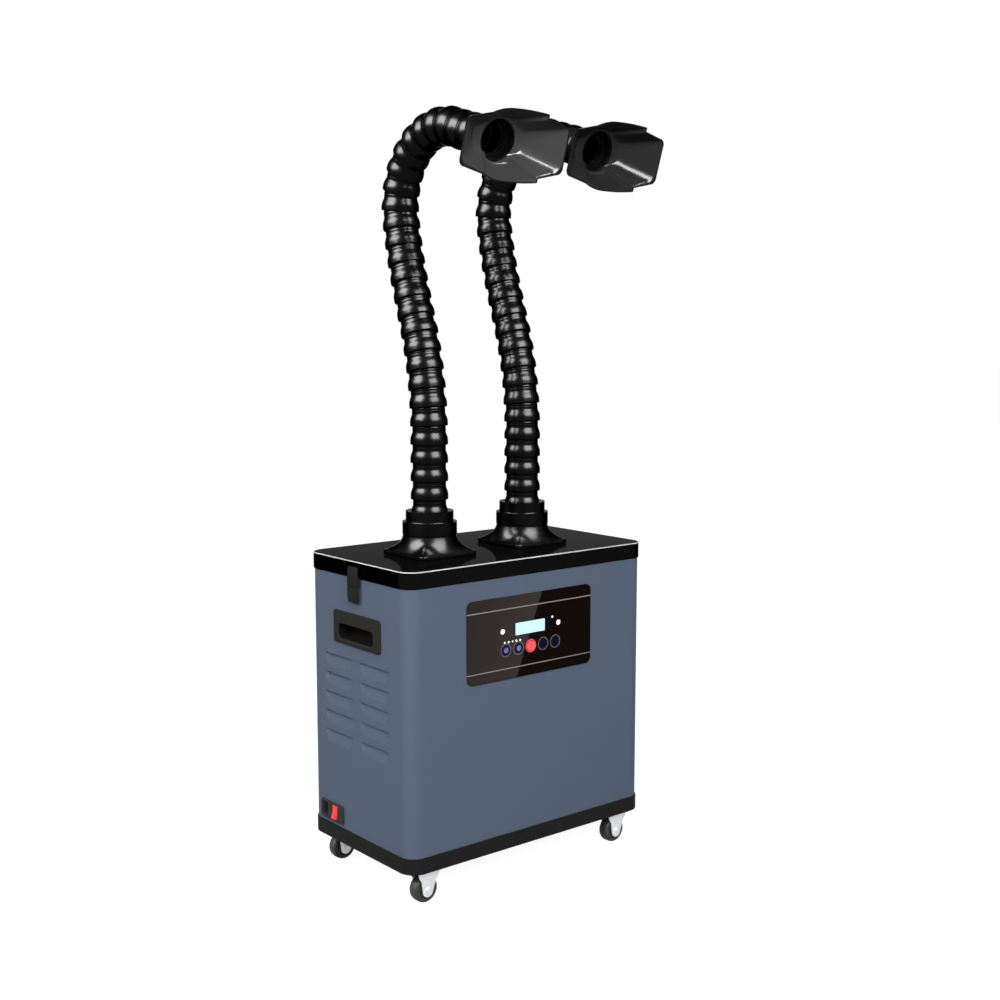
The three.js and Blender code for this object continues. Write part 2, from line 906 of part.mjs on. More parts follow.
function latchHook() {
  const outer = -sideX - latchProud;
  const bottom = latchSplit + trayBottom;
  const top = latchTop + trayBottom;
  const beside = -lidWidth / 2 - fit;
  const inner = beside - strikeRise;
  return profile(
    [
      [wallX, bottom],
      [wallX, bottom + hookHeel],
      [beside, bottom + hookHeel],
      [beside, bottom + hookShank],
      [inner, bottom + hookShank],
      [inner, top],
      [inner - hookTipDepth, top],
      [outer + hookShoulder, top - hookNose],
      [outer, top - hookNose * 2],
      [outer, bottom],
    ],
    latchWidth,
  );
}

// Mains inlet: a bezel on the wall, with the socket well and the rocker's well in the body behind it

function inlet() {
  const z = inletZ + trayBottom;
  const steps = smallCornerSteps;
  const bezel = sidePlate(inletWidth, inletHeight, inletCorner, inletBezel, wallX, inletY, z, steps);
  const depth = inletBodyDepth + inletBezel;
  const body = sidePlate(
    inletWidth - inletBodyInset * 2,
    inletHeight - inletBodyInset * 2,
    inletCorner,
    depth,
    wallX + inletBodyDepth,
    inletY,
    z,
    steps,
  );
  const socketReach = socketDepth + inletBezel + overrun;
  const socketX = wallX + socketDepth - socketReach / 2;
  const well = box(socketReach, socketWidth, socketHeight, socketX, socketY, z - socketHeight / 2);
  const rockerReach = rockerWell + inletBezel + overrun;
  const rockerHole = box(
    rockerReach,
    rockerWidth + fit * 2,
    rockerHeight + rockerCrown + fit * 2,
    wallX + rockerWell - rockerReach / 2,
    rockerY,
    z - rockerHeight / 2 - rockerCrown / 2 - fit,
  );
  let whole = solid(bezel).add(solid(body)).subtract(solid(well)).subtract(solid(rockerHole));
  for (const place of [-1, 0, 1]) {
    const pin = box(
      pinLength + overrun,
      pinThickness,
      pinWidth,
      wallX + socketDepth + overrun / 2 - pinLength / 2,
      socketY + (place === 0 ? pinThickness : -pinThickness),
      z + (place * pinSpread) / 2 - pinWidth / 2,
    );
    whole = whole.add(solid(pin));
  }
  return geometryOf(whole);
}

// The rocker turns about a line across the bezel's face, and its upper end is pressed in at rest
function rocker() {
  const half = rockerHeight / 2;
  const shape = profile(
    [
      [-rockerCrown, -half],
      [-rockerCrown, -half + rockerCrown],
      [rockerDip, 0],
      [-rockerCrown, half - rockerCrown],
      [-rockerCrown, half],
      [rockerFlank, rockerHeight * rockerFlankShare],
      [rockerKeel, rockerHeight * rockerKeelShare],
      [rockerKeel, -rockerHeight * rockerKeelShare],
      [rockerFlank, -rockerHeight * rockerFlankShare],
    ].reverse(),
    rockerWidth,
  );
  const tilted = shape.rotateY(THREE.MathUtils.degToRad(rockerTilt));
  return tilted.translate(wallX - inletBezel, rockerY, inletZ + trayBottom);
}

// Casters: the wheel's axle runs along Y, and the fork trails towards -X

function casterPlate() {
  const top = trayBottom - fit;
  const bottom = top - casterPlateSheet;
  const plate = slab(
    casterPlateSide, casterPlateSide, casterPlateCorner, casterPlateSheet, bottom, smallCornerSteps,
  );
  return cut(plate, rod(kingpinRadius + fit, casterPlateSheet + overrun * 2, kingpinSegments)
    .translate(0, 0, top - casterPlateSheet / 2));
}

function casterFork() {
  const crown = trayBottom - casterPlateSheet - fit * 2;
  const legY = wheelWidth / 2 + forkGap + forkSheet / 2;
  const under = crown - forkSheet;
  const outline = new THREE.Shape();
  outline.moveTo(forkHalf, crown);
  outline.lineTo(-forkHalf, crown);
  outline.lineTo(-forkHalf, crown - forkShoulder);
  outline.absarc(-casterTrail, wheelRadius, forkTip, Math.PI, Math.PI * 2);
  outline.lineTo(forkHalf, crown - forkShoulder);
  let fork = solid(box(forkHalf * 2, legY * 2, forkSheet, 0, 0, under));
  for (const side of [-1, 1]) {
    const options = { depth: forkSheet, bevelEnabled: false, curveSegments: tipSteps };
    const leg = new THREE.ExtrudeGeometry(outline, options).rotateX(quarterTurn);
    fork = fork.add(solid(leg.translate(0, side * legY + forkSheet / 2, 0)));
  }
  const across = legY * 2 + forkSheet + overrun * 2;
  const eye = new THREE.CylinderGeometry(wheelBore, wheelBore, across, pinSegments);
  const kingpin = rod(kingpinRadius, kingpinHeight + forkSheet, kingpinSegments)
    .translate(0, 0, crown + (kingpinHeight - forkSheet) / 2);
  return geometryOf(
    fork.add(solid(kingpin)).subtract(solid(eye.translate(-casterTrail, 0, wheelRadius))),
  );
}

function casterWheel() {
  const half = wheelWidth / 2;
  return turned(
    [
      [wheelBore, -half],
      [wheelRadius, -half],
      [wheelRadius, half],
      [wheelBore, half],
    ],
    wheelSegments,
  ).rotateX(quarterTurn).translate(-casterTrail, 0, wheelRadius);
}

function casterAxle() {
  const length = (wheelWidth / 2 + forkGap + forkSheet + axleProud) * 2;
  const pin = new THREE.CylinderGeometry(axleRadius, axleRadius, length, pinSegments);
  return pin.translate(-casterTrail, 0, wheelRadius);
}

// Filters stand in a stack from the shelf up to the gasket under the lid

const gasketBottom = ceiling - fit - gasketHeight;
const preFilterBottom = gasketBottom - fit - preFilterHeight;
const hepaBottom = preFilterBottom - fit - hepaHeight;
const carbonBottom = hepaBottom - fit - carbonHeight;
const shelfTop = carbonBottom - fit - shelfRim;
const shelfBottom = shelfTop - shelfSheet;

function filterBlock(height, z) {
  return slab(filterWidth, filterDepth, filterCorner, height, z, smallCornerSteps);
}

function frame(height, z, wall) {
  const inner = slab(
    filterWidth - wall * 2,
    filterDepth - wall * 2,
    filterCorner,
    height + overrun * 2,
    z - overrun,
    smallCornerSteps,
  );
  return cut(filterBlock(height, z), inner);
}

function shelf() {
  const inset = bodyInset + sheet + fit;
  const sheetPlate = bodyWall(inset, shelfBottom, shelfSheet);
  const rim = frame(shelfRim + shelfSheet / 2, shelfTop - shelfSheet / 2, shelfWall);
  const ringTop = shelfBottom + shelfSheet / 2;
  const ringBottom = shelfBottom - inletRingDrop;
  const opening = rod(inletRingRadius, shelfSheet + overrun * 2, fanSegments).translate(0, 0, shelfBottom);
  const mouth = turned(
    [
      [inletRingThroat, ringBottom],
      [inletRingThroat + inletRingWall, ringBottom],
      [inletRingRadius + inletRingWall, ringTop - inletRingWall],
      [inletRingRadius + inletRingWall, ringTop],
      [inletRingRadius, ringTop],
    ],
    fanSegments,
  );
  return join(cut(join(sheetPlate, rim), opening), mouth);
}

// Fan: the motor stands on a strap hung from the shelf and turns the impeller above it

const fanTop = shelfBottom - inletRingDrop - runningGap;
const fanBottom = fanTop - fanHeight;
const strapBottom = fanBottom - runningGap - motorHeight - strapSheet - fit;

function impeller() {
  const backPlate = turned(
    [
      [shaftRadius + fit, fanBottom],
      [fanRadius, fanBottom],
      [fanRadius, fanBottom + fanPlate],
      [hubRadius, fanBottom + fanPlate],
      [hubRadius / 2, fanBottom + hubRadius / 2],
      [shaftRadius + fit, fanBottom + hubRadius / 2],
    ],
    fanSegments,
  );
  const shroud = turned(
    [
      [fanEye, fanTop - fanPlate],
      [fanRadius, fanTop - fanPlate * 2],
      [fanRadius, fanTop - fanPlate],
      [fanEye, fanTop],
    ],
    fanSegments,
  );
  let wheel = solid(backPlate).add(solid(shroud));
  const length = fanRadius - hubRadius;
  const height = fanHeight - fanPlate * 2;
  for (let index = 0; index < bladeCount; index += 1) {
    const blade = new THREE.BoxGeometry(length, bladeThickness, height)
      .rotateZ(THREE.MathUtils.degToRad(bladeSweep))
      .translate(hubRadius + length / 2 - overrun, 0, fanBottom + fanPlate / 2 + height / 2)
      .rotateZ((index * Math.PI * 2) / bladeCount);
    wheel = wheel.add(solid(blade));
  }
  return geometryOf(wheel);
}

function motor() {
  const bottom = strapBottom + strapSheet + fit;
  const top = bottom + motorHeight;
  return turned(
    [
      [0, bottom],
      [motorRadius, bottom],
      [motorRadius, top],
      [shaftRadius, top],
      [shaftRadius, fanBottom + hubRadius / 2 + runningGap],
      [0, fanBottom + hubRadius / 2 + runningGap],
    ],
    fanSegments,
  );
}

function motorStrap() {
  const top = shelfBottom - fit;
  const height = top - strapBottom;
  let strap = solid(box(strapReach * 2, strapWidth, strapSheet, 0, 0, strapBottom));
  for (const side of [-1, 1]) {
    const legX = side * (strapReach - strapSheet / 2);
    const footX = side * (strapReach - strapSheet + strapFoot / 2);
    const leg = box(strapSheet, strapWidth, height, legX, 0, strapBottom);
    const foot = box(strapFoot, strapWidth, strapSheet, footX, 0, top - strapSheet);
    strap = strap.add(solid(leg)).add(solid(foot));
  }
  return geometryOf(strap);
}

function powerSupply() {
  const bottom = trayBottom + trayFloor + fit;
  const x = wallX + inletBodyDepth + supplyGap + supplyWidth / 2;
  return box(supplyWidth, supplyDepth, supplyHeight, x, supplyY, bottom);
}

// Assembly

const machine = new THREE.Group();
piece(machine, 'base_tray', baseTray(), 'tray');
piece(machine, 'cabinet_shell', cabinetShell(), 'steel');
piece(machine, 'lid', lid(), 'lid');
piece(machine, 'lid_gasket', frame(gasketHeight, gasketBottom, gasketWall), 'foam');
piece(machine, 'pre_filter', filterBlock(preFilterHeight, preFilterBottom), 'paper');
piece(machine, 'hepa_filter', filterBlock(hepaHeight, hepaBottom), 'paper');
piece(machine, 'carbon_filter', filterBlock(carbonHeight, carbonBottom), 'foam');
piece(machine, 'filter_shelf', shelf(), 'zinc');
piece(machine, 'impeller', impeller(), 'black');
piece(machine, 'fan_motor', motor(), 'zinc');
piece(machine, 'motor_strap', motorStrap(), 'zinc');
piece(machine, 'power_supply', powerSupply(), 'zinc');
piece(machine, 'control_panel', fascia(), 'panel');
piece(machine, 'display_window', display(), 'display');
piece(machine, 'control_board', controlBoard(), 'board');
buttonNames.forEach((name, index) => {
  piece(machine, `button_${name}`, button(index), name === 'power' ? 'red' : 'blue');
});
piece(machine, 'mains_inlet', inlet(), 'handle');
piece(machine, 'rocker_switch', rocker(), 'red');

for (const [label, side] of [['left', -1], ['right', 1]]) {
  piece(machine, `handle_${label}`, onSide(handle(), side), 'handle');
  piece(machine, `latch_base_${label}`, onSide(latchBase(), side), 'handle');
  piece(machine, `latch_lever_${label}`, onSide(latchLever(), side), 'handle');
  piece(machine, `latch_hook_${label}`, onSide(latchHook(), side), 'handle');
}

['left', 'right'].forEach((label, index) => {
  const arm = new THREE.Group();
  arm.position.set(armX[index], armY, 0);
  arm.rotation.z = THREE.MathUtils.degToRad(armTurns[index]);
  machine.add(arm);
  piece(machine, `flange_${label}`, flange(), 'black').position.copy(arm.position);
  let first = 0;
  for (const { name, links } of runs) {
    piece(arm, `arm_${label}_${name}`, armRun(first, first + links - 1, first === 0), 'black');
    first += links;
  }
  piece(arm, `throat_ring_${label}`, atHood(throatRing()), 'black');
  piece(arm, `hood_${label}`, atHood(hood()), index === 0 ? 'smoke' : 'smokeDark');
});

for (const [label, x, y] of [
  ['front_left', -casterX, -casterY],
  ['front_right', casterX, -casterY],
  ['rear_left', -casterX, casterY],
  ['rear_right', casterX, casterY],
]) {
  const caster = new THREE.Group();
  caster.position.set(x, y, 0);
  machine.add(caster);
  piece(caster, `caster_plate_${label}`, casterPlate(), 'zinc');
  piece(caster, `caster_fork_${label}`, casterFork(), 'zinc');
  piece(caster, `caster_wheel_${label}`, casterWheel(), 'tread');
  piece(caster, `caster_axle_${label}`, casterAxle(), 'zinc');
}

// The origin goes below the middle of the bounding box
const bounds = new THREE.Box3().setFromObject(machine);
const middle = bounds.getCenter(new THREE.Vector3());
machine.position.set(-middle.x, -middle.y, -bounds.min.z);
const extractor = new THREE.Group();
extractor.add(machine);

export default extractor;
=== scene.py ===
"""Salon fume extractor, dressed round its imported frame.

Sizes are in millimetres in the machine's own frame: +Z up from the floor, the front faces -Y, and x = y = 0
is the middle of the base. Workshop.piece brings each finished mesh to metres in the row frame.
"""

import logging
import math
from contextlib import contextmanager
from dataclasses import dataclass, field
from enum import Enum
from functools import lru_cache
from typing import Iterator, Optional, Sequence

import bmesh
import bpy
import numpy as np
from mathutils import Matrix, Vector


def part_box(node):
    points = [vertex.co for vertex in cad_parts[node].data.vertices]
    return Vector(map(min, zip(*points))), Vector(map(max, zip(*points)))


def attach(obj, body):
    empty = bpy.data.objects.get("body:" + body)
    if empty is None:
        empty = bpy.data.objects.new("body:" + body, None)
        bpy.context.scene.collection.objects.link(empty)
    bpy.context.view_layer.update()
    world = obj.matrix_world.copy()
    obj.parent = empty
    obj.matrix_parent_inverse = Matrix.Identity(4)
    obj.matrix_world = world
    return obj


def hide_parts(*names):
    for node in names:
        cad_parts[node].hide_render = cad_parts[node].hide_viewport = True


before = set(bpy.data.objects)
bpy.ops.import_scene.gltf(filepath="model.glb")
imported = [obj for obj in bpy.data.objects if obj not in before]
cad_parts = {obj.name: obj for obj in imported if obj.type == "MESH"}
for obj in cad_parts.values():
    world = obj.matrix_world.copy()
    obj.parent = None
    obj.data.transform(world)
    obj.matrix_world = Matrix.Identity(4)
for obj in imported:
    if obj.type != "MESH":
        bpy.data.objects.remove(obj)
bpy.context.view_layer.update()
LOG = logging.getLogger("fume_extractor")

# In millimetres: the play between parts, points that count as one, edges too short to keep, and the
# smallest radius of a rounded corner.
FIT = 0.3
WELD = 1e-4
SLIVER = 1e-5
SMALLEST_CORNER = 0.2

MM = 0.001
QUARTER = math.pi / 2
FULL = math.pi * 2
CAMERA_YAW = 39.38
SIDES = (("left", -1), ("right", 1))
ENDS = (("front", -1), ("rear", 1))
CASTER_PLACE = (175.3, 100.0)

Point = tuple[float, float]
Profile = list[Point]
Ring = list[Vector]


# Scene data


@contextmanager
def edited(mesh: bpy.types.Mesh) -> Iterator[bmesh.types.BMesh]:
    """Opens a mesh for editing and writes the changes back at the end."""
    work = bmesh.new()
    work.from_mesh(mesh)
    yield work
    work.to_mesh(mesh)
    work.free()


def placed(name: str, data: bpy.types.ID) -> bpy.types.Object:
    """Makes an object of the data and links it to the scene."""
    thing = bpy.data.objects.new(name, data)
    bpy.context.scene.collection.objects.link(thing)
    return thing


# Shapes


@dataclass
class Shape:
    """Points and faces of one piece while it is made, in millimetres."""

    points: list[Vector] = field(default_factory=list)
    faces: list[tuple[int, ...]] = field(default_factory=list)

    def loft(self, rings: Sequence[Ring], closed: bool = False) -> "Shape":
        """Skins rings that all have the same count of points.

        Args:
            rings: The rings in order.
            closed: True joins the last ring to the first, and False caps both ends.

        Returns:
            This shape.
        """
        base, sides = len(self.points), len(rings[0])
        for ring in rings:
            self.points.extend(ring)
        for band in range(len(rings) if closed else len(rings) - 1):
            low = base + band * sides
            high = base + (band + 1) % len(rings) * sides
            for side in range(sides):
                after = (side + 1) % sides
                self.faces.append((low + side, low + after, high + after, high + side))
        if not closed:
            last = base + (len(rings) - 1) * sides
            self.faces.append(tuple(base + side for side in reversed(range(sides))))
            self.faces.append(tuple(last + side for side in range(sides)))
        return self

    def join(self, other: "Shape") -> "Shape":
        """Adds another shape's points and faces to this one and returns this one."""
        base = len(self.points)
        self.points.extend(other.points)
        self.faces.extend(tuple(base + index for index in face) for face in other.faces)
        return self

    def moved(self, matrix: Matrix) -> "Shape":
        """Returns a copy of this shape, turned and moved by the matrix."""
        return Shape([matrix @ point for point in self.points], list(self.faces))

    def mesh(self, name: str) -> bpy.types.Mesh:
        """Makes a Blender mesh with merged doubles and outward faces.

        Args:
            name: The mesh's name.

        Returns:
            The new mesh, still in millimetres.
        """
        mesh = bpy.data.meshes.new(name)
        mesh.from_pydata(self.points, [], self.faces)
        with edited(mesh) as work:
            bmesh.ops.remove_doubles(work, verts=work.verts, dist=WELD)
            bmesh.ops.dissolve_degenerate(work, edges=work.edges, dist=SLIVER)
            bmesh.ops.recalc_face_normals(work, faces=work.faces)
        return mesh


def between(ends: Point, share: float) -> float:
    """Returns the value at a share of the way between two ends."""
    return ends[0] + (ends[1] - ends[0]) * share


def mirrored(side: Profile) -> Profile:
    """Returns a (radius, height) profile, followed by its mirror image in height."""
    return [*side, *[(radius, -z) for radius, z in reversed(side)]]


def arc(centre: Point, radius: float, start: float, steps: int) -> Profile:
    """Returns points of a quarter circle whose start is counted in quarter turns."""
    angles = [(start + step / steps) * QUARTER for step in range(steps + 1)]
    return [(centre[0] + radius * math.cos(a), centre[1] + radius * math.sin(a)) for a in angles]


def circle(radius: float, z: float, angles: Sequence[float]) -> Ring:
    """Returns a circle round the Z axis with its points at the given angles."""
    return [Vector((radius * math.cos(a), radius * math.sin(a), z)) for a in angles]


def plate_rings(width: float, depth: float, radius: float, levels: Profile, steps: int) -> list[Ring]:
    """Returns a rounded rectangle round the Z axis for each (inset, height) level, anticlockwise."""
    rings = []
    for inset, z in levels:
        ring, corner = [], max(radius - inset, SMALLEST_CORNER)
        for quarter, (side_x, side_y) in enumerate(((1, 1), (-1, 1), (-1, -1), (1, -1))):
            centre = (side_x * (width / 2 - inset - corner), side_y * (depth / 2 - inset - corner))
            ring += [Vector((x, y, z)) for x, y in arc(centre, corner, quarter, steps)]
        rings.append(ring)
    return rings


def turned(profile: Profile, sides: int) -> Shape:
    """Turns a closed outline of (radius, height) points round the Z axis."""
    rings = []
    for side in range(sides):
        angle = side * FULL / sides
        rings.append([Vector((r * math.cos(angle), r * math.sin(angle), z)) for r, z in profile])
    return Shape().loft(rings, closed=True)


def drawn(outline: Profile, length: float) -> Shape:
    """Draws an outline in X and Z out along Y, centred on y = 0."""
    half = length / 2
    return Shape().loft([[Vector((x, y, z)) for x, z in outline] for y in (-half, half)])


def block(size: Sequence[float], centre: Sequence[float]) -> Shape:
    """Returns a plain box, which a bevel finishes later."""
    width, depth, height = size
    x, y, z = centre
    ring = [(-1, -1), (1, -1), (1, 1), (-1, 1)]
    rings = [
        [Vector((x + sx * width / 2, y + sy * depth / 2, z + end * height / 2)) for sx, sy in ring]
        for end in (-1, 1)
    ]
    return Shape().loft(rings)


def fillet(start: Point, corner: Point, end: Point, steps: int) -> Profile:
    """Returns points of a curve from start to end that bends round the corner point."""
    points = []
    for t in (step / steps for step in range(steps + 1)):
        pulls = (((1 - t) ** 2, start), (2 * t * (1 - t), corner), (t * t, end))
        points.append(tuple(sum(pull * place[axis] for pull, place in pulls) for axis in (0, 1)))
    return points


# Finishes


def linear(rgb: Sequence[int]) -> tuple[float, float, float, float]:
    """Turns a screen colour of 0 to 255 into the linear colour that a shader takes."""
    parts = [value / 255 for value in rgb]
    return (*[p / 12.92 if p <= 0.04045 else ((p + 0.055) / 1.055) ** 2.4 for p in parts], 1.0)


class Nodes:
    """Short calls that add and join the nodes of one tree."""

    def __init__(self, tree: bpy.types.NodeTree) -> None:
        """Takes an empty tree."""
        self.tree = tree

    def add(self, kind: str, inputs: Optional[dict] = None, **settings) -> bpy.types.Node:
        """Adds a node.

        Args:
            kind: The node's type name.
            inputs: Socket name or index to a value, or to an output socket that is linked to it.
            settings: Attributes that are set on the node first.

        Returns:
            The new node.
        """
        node = self.tree.nodes.new(kind)
        for key, value in settings.items():
            setattr(node, key, value)
        for key, value in (inputs or {}).items():
            if isinstance(value, bpy.types.NodeSocket):
                self.tree.links.new(value, node.inputs[key])
            else:
                node.inputs[key].default_value = value
        return node

    def math(self, operation: str, first, second=0.0, clamp: bool = False) -> bpy.types.NodeSocket:
        """Adds a Math node and returns its output."""
        node = self.add("ShaderNodeMath", {0: first, 1: second}, operation=operation, use_clamp=clamp)
        return node.outputs[0]

    def noise(self, place, scale: float, detail: float = 2.0) -> bpy.types.NodeSocket:
        """Adds a Noise Texture on a coordinate and returns its factor."""
        node = self.add("ShaderNodeTexNoise", {"Vector": place, "Scale": scale, "Detail": detail})
        return node.outputs["Fac"]

    def spread(self, value, low: float, high: float) -> bpy.types.NodeSocket:
        """Maps the middle of a noise's range to low..high."""
        inputs = {"Value": value, "From Min": 0.3, "From Max": 0.7, "To Min": low, "To Max": high}
        return self.add("ShaderNodeMapRange", inputs).outputs["Result"]

    def blend(self, factor, first, second) -> bpy.types.NodeSocket:
        """Mixes two colours and returns the result."""
        return self.add("ShaderNodeMix", {0: factor, 6: first, 7: second}, data_type="RGBA").outputs[2]


def emptied(owner: "bpy.types.Material | bpy.types.World") -> Nodes:
    """Switches a material or a world to nodes and returns its emptied tree."""
    owner.use_nodes = True
    owner.node_tree.nodes.clear()
    return Nodes(owner.node_tree)


@dataclass(frozen=True)
class Finish:
    """One surface finish: its colour and gloss, and how both vary over the surface."""

    name: str
    colour: tuple[int, int, int]
    roughness: float = 0.4
    specular: float = 0.3
    metallic: float = 0.0
    edge_tint: float = 1.0
    coat: float = 0.0
    coat_roughness: float = 0.12
    coat_ior: float = 1.5
    mottle: float = 0.05
    mottle_size: float = 60.0
    smudge: float = 0.06
    smudge_size: float = 25.0
    grain: float = 0.02
    grain_size: float = 0.6
    glow: float = 0.0

    def colour_of(self, nodes: Nodes, place: bpy.types.NodeSocket) -> bpy.types.NodeSocket:
        """Returns the colour with its slight mottle."""
        base = linear(self.colour)
        dark = (*[value * (1 - self.mottle) for value in base[:3]], 1.0)
        light = (*[min(value * (1 + self.mottle), 1.0) for value in base[:3]], 1.0)
        return nodes.blend(nodes.noise(place, 1 / (self.mottle_size * MM), 3), dark, light)

    def material(self) -> bpy.types.Material:
        """Builds the material once and returns the same one after that."""
        known = bpy.data.materials.get(self.name)
        if known:
            return known
        material = bpy.data.materials.new(self.name)
        nodes = emptied(material)
        place = nodes.add("ShaderNodeTexCoord").outputs["Object"]
        colour = self.colour_of(nodes, place)
        smudge = nodes.noise(place, 1 / (self.smudge_size * MM), 4)
        low, high = max(self.roughness - self.smudge, 0.02), min(self.roughness + self.smudge, 1.0)
        height = nodes.noise(place, 1 / (self.grain_size * MM))
        height = nodes.math("MULTIPLY", height, self.grain)
        bump = nodes.add("ShaderNodeBump", {"Strength": 0.6, "Distance": MM, "Height": height})
        shader = nodes.add(
            "ShaderNodeBsdfPrincipled",
            {
                "Base Color": colour,
                "Roughness": nodes.spread(smudge, low, high),
                "Metallic": self.metallic,
                "Specular IOR Level": self.specular,
                "Specular Tint": (self.edge_tint,) * 3 + (1.0,),
                "Coat Weight": self.coat,
                "Coat Roughness": self.coat_roughness,
                "Coat IOR": self.coat_ior,
                "Normal": bump.outputs["Normal"],
            },
        )
        if self.glow:
            shader.inputs["Emission Color"].default_value = linear(self.colour)
            shader.inputs["Emission Strength"].default_value = self.glow
        nodes.add("ShaderNodeOutputMaterial", {"Surface": shader.outputs["BSDF"]})
        return material


@dataclass(frozen=True)
class Fascia(Finish):
    """The panel's glass: printed from behind, with two thin lines, and a painted sheen that lightens one part
    as a painted reflection.
    """

    line_heights: tuple[float, float] = (388.0, 305.0)
    line_width: float = 1.3
    line_colour: tuple[int, int, int] = (146, 139, 134)
    # The painted sheen: a lighter painted reflection on one side of a diagonal edge, fading away from it.
    painted_sheen_colour: tuple[int, int, int] = (55, 50, 48)
    painted_sheen_start: tuple[float, float] = (11.8, 403.7)
    painted_sheen_end: tuple[float, float] = (-33.6, 289.7)
    painted_sheen_fade: float = 170.0
    painted_sheen_end_share: float = 0.45

    def colour_of(self, nodes: Nodes, place: bpy.types.NodeSocket) -> bpy.types.NodeSocket:
        """Returns the glass colour with the painted sheen and the printed lines over it."""
        parts = nodes.add("ShaderNodeSeparateXYZ", {0: place}).outputs
        # Painted reflection: lighter on one side of the diagonal edge, fading with distance from it.
        (top_x, top_z), (low_x, low_z) = self.painted_sheen_start, self.painted_sheen_end
        slope = (top_x - low_x) / (top_z - low_z)
        edge = nodes.math("MULTIPLY_ADD", parts["Z"], slope)
        edge.node.inputs[2].default_value = (top_x - slope * top_z) * MM
        beyond = nodes.math("SUBTRACT", edge, parts["X"])
        inside = nodes.math("GREATER_THAN", beyond, 0.0)
        reach = {"From Min": 0.0, "From Max": self.painted_sheen_fade * MM}
        share = {"To Min": 1.0, "To Max": self.painted_sheen_end_share}
        fade = nodes.add("ShaderNodeMapRange", {"Value": beyond, **reach, **share})
        painted_sheen = nodes.math("MULTIPLY", inside, fade.outputs["Result"])
        colour = nodes.blend(painted_sheen, super().colour_of(nodes, place), linear(self.painted_sheen_colour))
        for height in self.line_heights:
            away = nodes.math("ABSOLUTE", nodes.math("SUBTRACT", parts["Z"], height * MM))
            on_line = nodes.math("LESS_THAN", away, self.line_width / 2 * MM)
            colour = nodes.blend(on_line, colour, linear(self.line_colour))
        return colour


BLACK_GLOSS = {"metallic": 1.0, "edge_tint": 0.3}
HOOD_GLOSS = {"specular": 0.0005, "coat_roughness": 0.2, "coat_ior": 3.0, "grain": 0.004}
PRINTED = {"specular": 0.006, "mottle": 0.1, "grain": 0.0}

PAINT = Finish(
    "powder_coat", (86, 97, 114), 0.42, specular=0.008, coat=0.02, grain=0.03, grain_size=0.9, mottle=0.02
)
TRAY_PLASTIC = Finish("tray_plastic", (33, 33, 33), 0.4, specular=0.01, grain=0.02, mottle=0.08)
LID_SKIRT = Finish("lid_skirt_lacquer", (15, 15, 15), 0.16, grain=0.004, **BLACK_GLOSS)
# Painted highlight: light grey on the fillet of the lid's top edge, standing in for the lamps' shine there.
LID_EDGE_HIGHLIGHT = Finish("lid_edge_painted_highlight", (196, 196, 196), 0.35, specular=0.0005, grain=0.004, mottle=0.2)
LID_TOP = Finish("lid_top_lacquer", (12, 12, 12), 0.05, specular=0.0005, smudge=0.02, grain=0.001)
LINK_PLASTIC = Finish("link_plastic", (13, 13, 13), 0.26, grain=0.0015, smudge=0.01, **BLACK_GLOSS)
FLANGE_PLASTIC = Finish("flange_plastic", (13, 13, 13), 0.25, grain=0.004, **BLACK_GLOSS)
# Both hoods are one plastic, in lit and shaded copies: the left painted lighter, the right painted darker.
HOOD_PAINTED_LIT = Finish("hood_plastic_painted_lit", (62, 62, 63), 0.4, coat=0.035, **HOOD_GLOSS)
HOOD_PAINTED_SHADE = Finish("hood_plastic_painted_shade", (38, 38, 39), 0.4, coat=0.025, **HOOD_GLOSS)
HOOD_RIM = Finish("hood_rim", (24, 24, 24), 0.35, specular=0.01, grain=0.006, mottle=0.06)
THROAT = Finish("throat_plastic", (14, 14, 14), 0.3, specular=0.004, grain=0.006)
HANDLE_PLASTIC = Finish("handle_plastic", (43, 43, 40), 0.5, specular=0.004, grain=0.03, grain_size=0.7)
# Painted shade: the hand-hole's own plastic, painted darker in its hollow.
HANDLE_HOLLOW_SHADE = Finish("handle_hollow_painted_shade", (23, 22, 21), 0.5, specular=0.004, grain=0.03, grain_size=0.7)
LATCH_PLASTIC = Finish("latch_plastic", (36, 37, 36), 0.4, specular=0.003, grain=0.015)
INLET_PLASTIC = Finish("inlet_plastic", (52, 52, 52), 0.4, specular=0.012, grain=0.02)
ROCKER_RED = Finish("rocker_red", (235, 30, 33), 0.25, glow=0.15, grain=0.0)
GLASS = Fascia("panel_glass", (16, 9, 7), 0.1, specular=0.006, mottle=0.25, grain=0.0, smudge=0.03)
DISPLAY = Finish("display_backlight", (187, 240, 252), 0.2, specular=0.1, glow=0.35, mottle=0.02, grain=0.0)
BUTTON_BLUE = Finish("button_blue", (50, 48, 132), 0.3, **PRINTED)
BUTTON_DIM = Finish("button_dim", (13, 10, 48), 0.3, **PRINTED)
BUTTON_FACE = Finish("button_face", (22, 18, 42), 0.3, **PRINTED)
BUTTON_LIT = Finish("button_lit", (246, 92, 96), 0.25, specular=0.01, glow=0.2, mottle=0.1, grain=0.0)
BUTTON_RED = Finish("button_red", (190, 10, 22), 0.25, specular=0.01, glow=0.15, grain=0.0)
RING_GREY = Finish("ring_grey", (106, 100, 96), 0.35, specular=0.01, mottle=0.08, grain=0.0)
RING_PINK = Finish("ring_lit_red", (235, 70, 78), 0.3, specular=0.01, glow=0.3, grain=0.0)
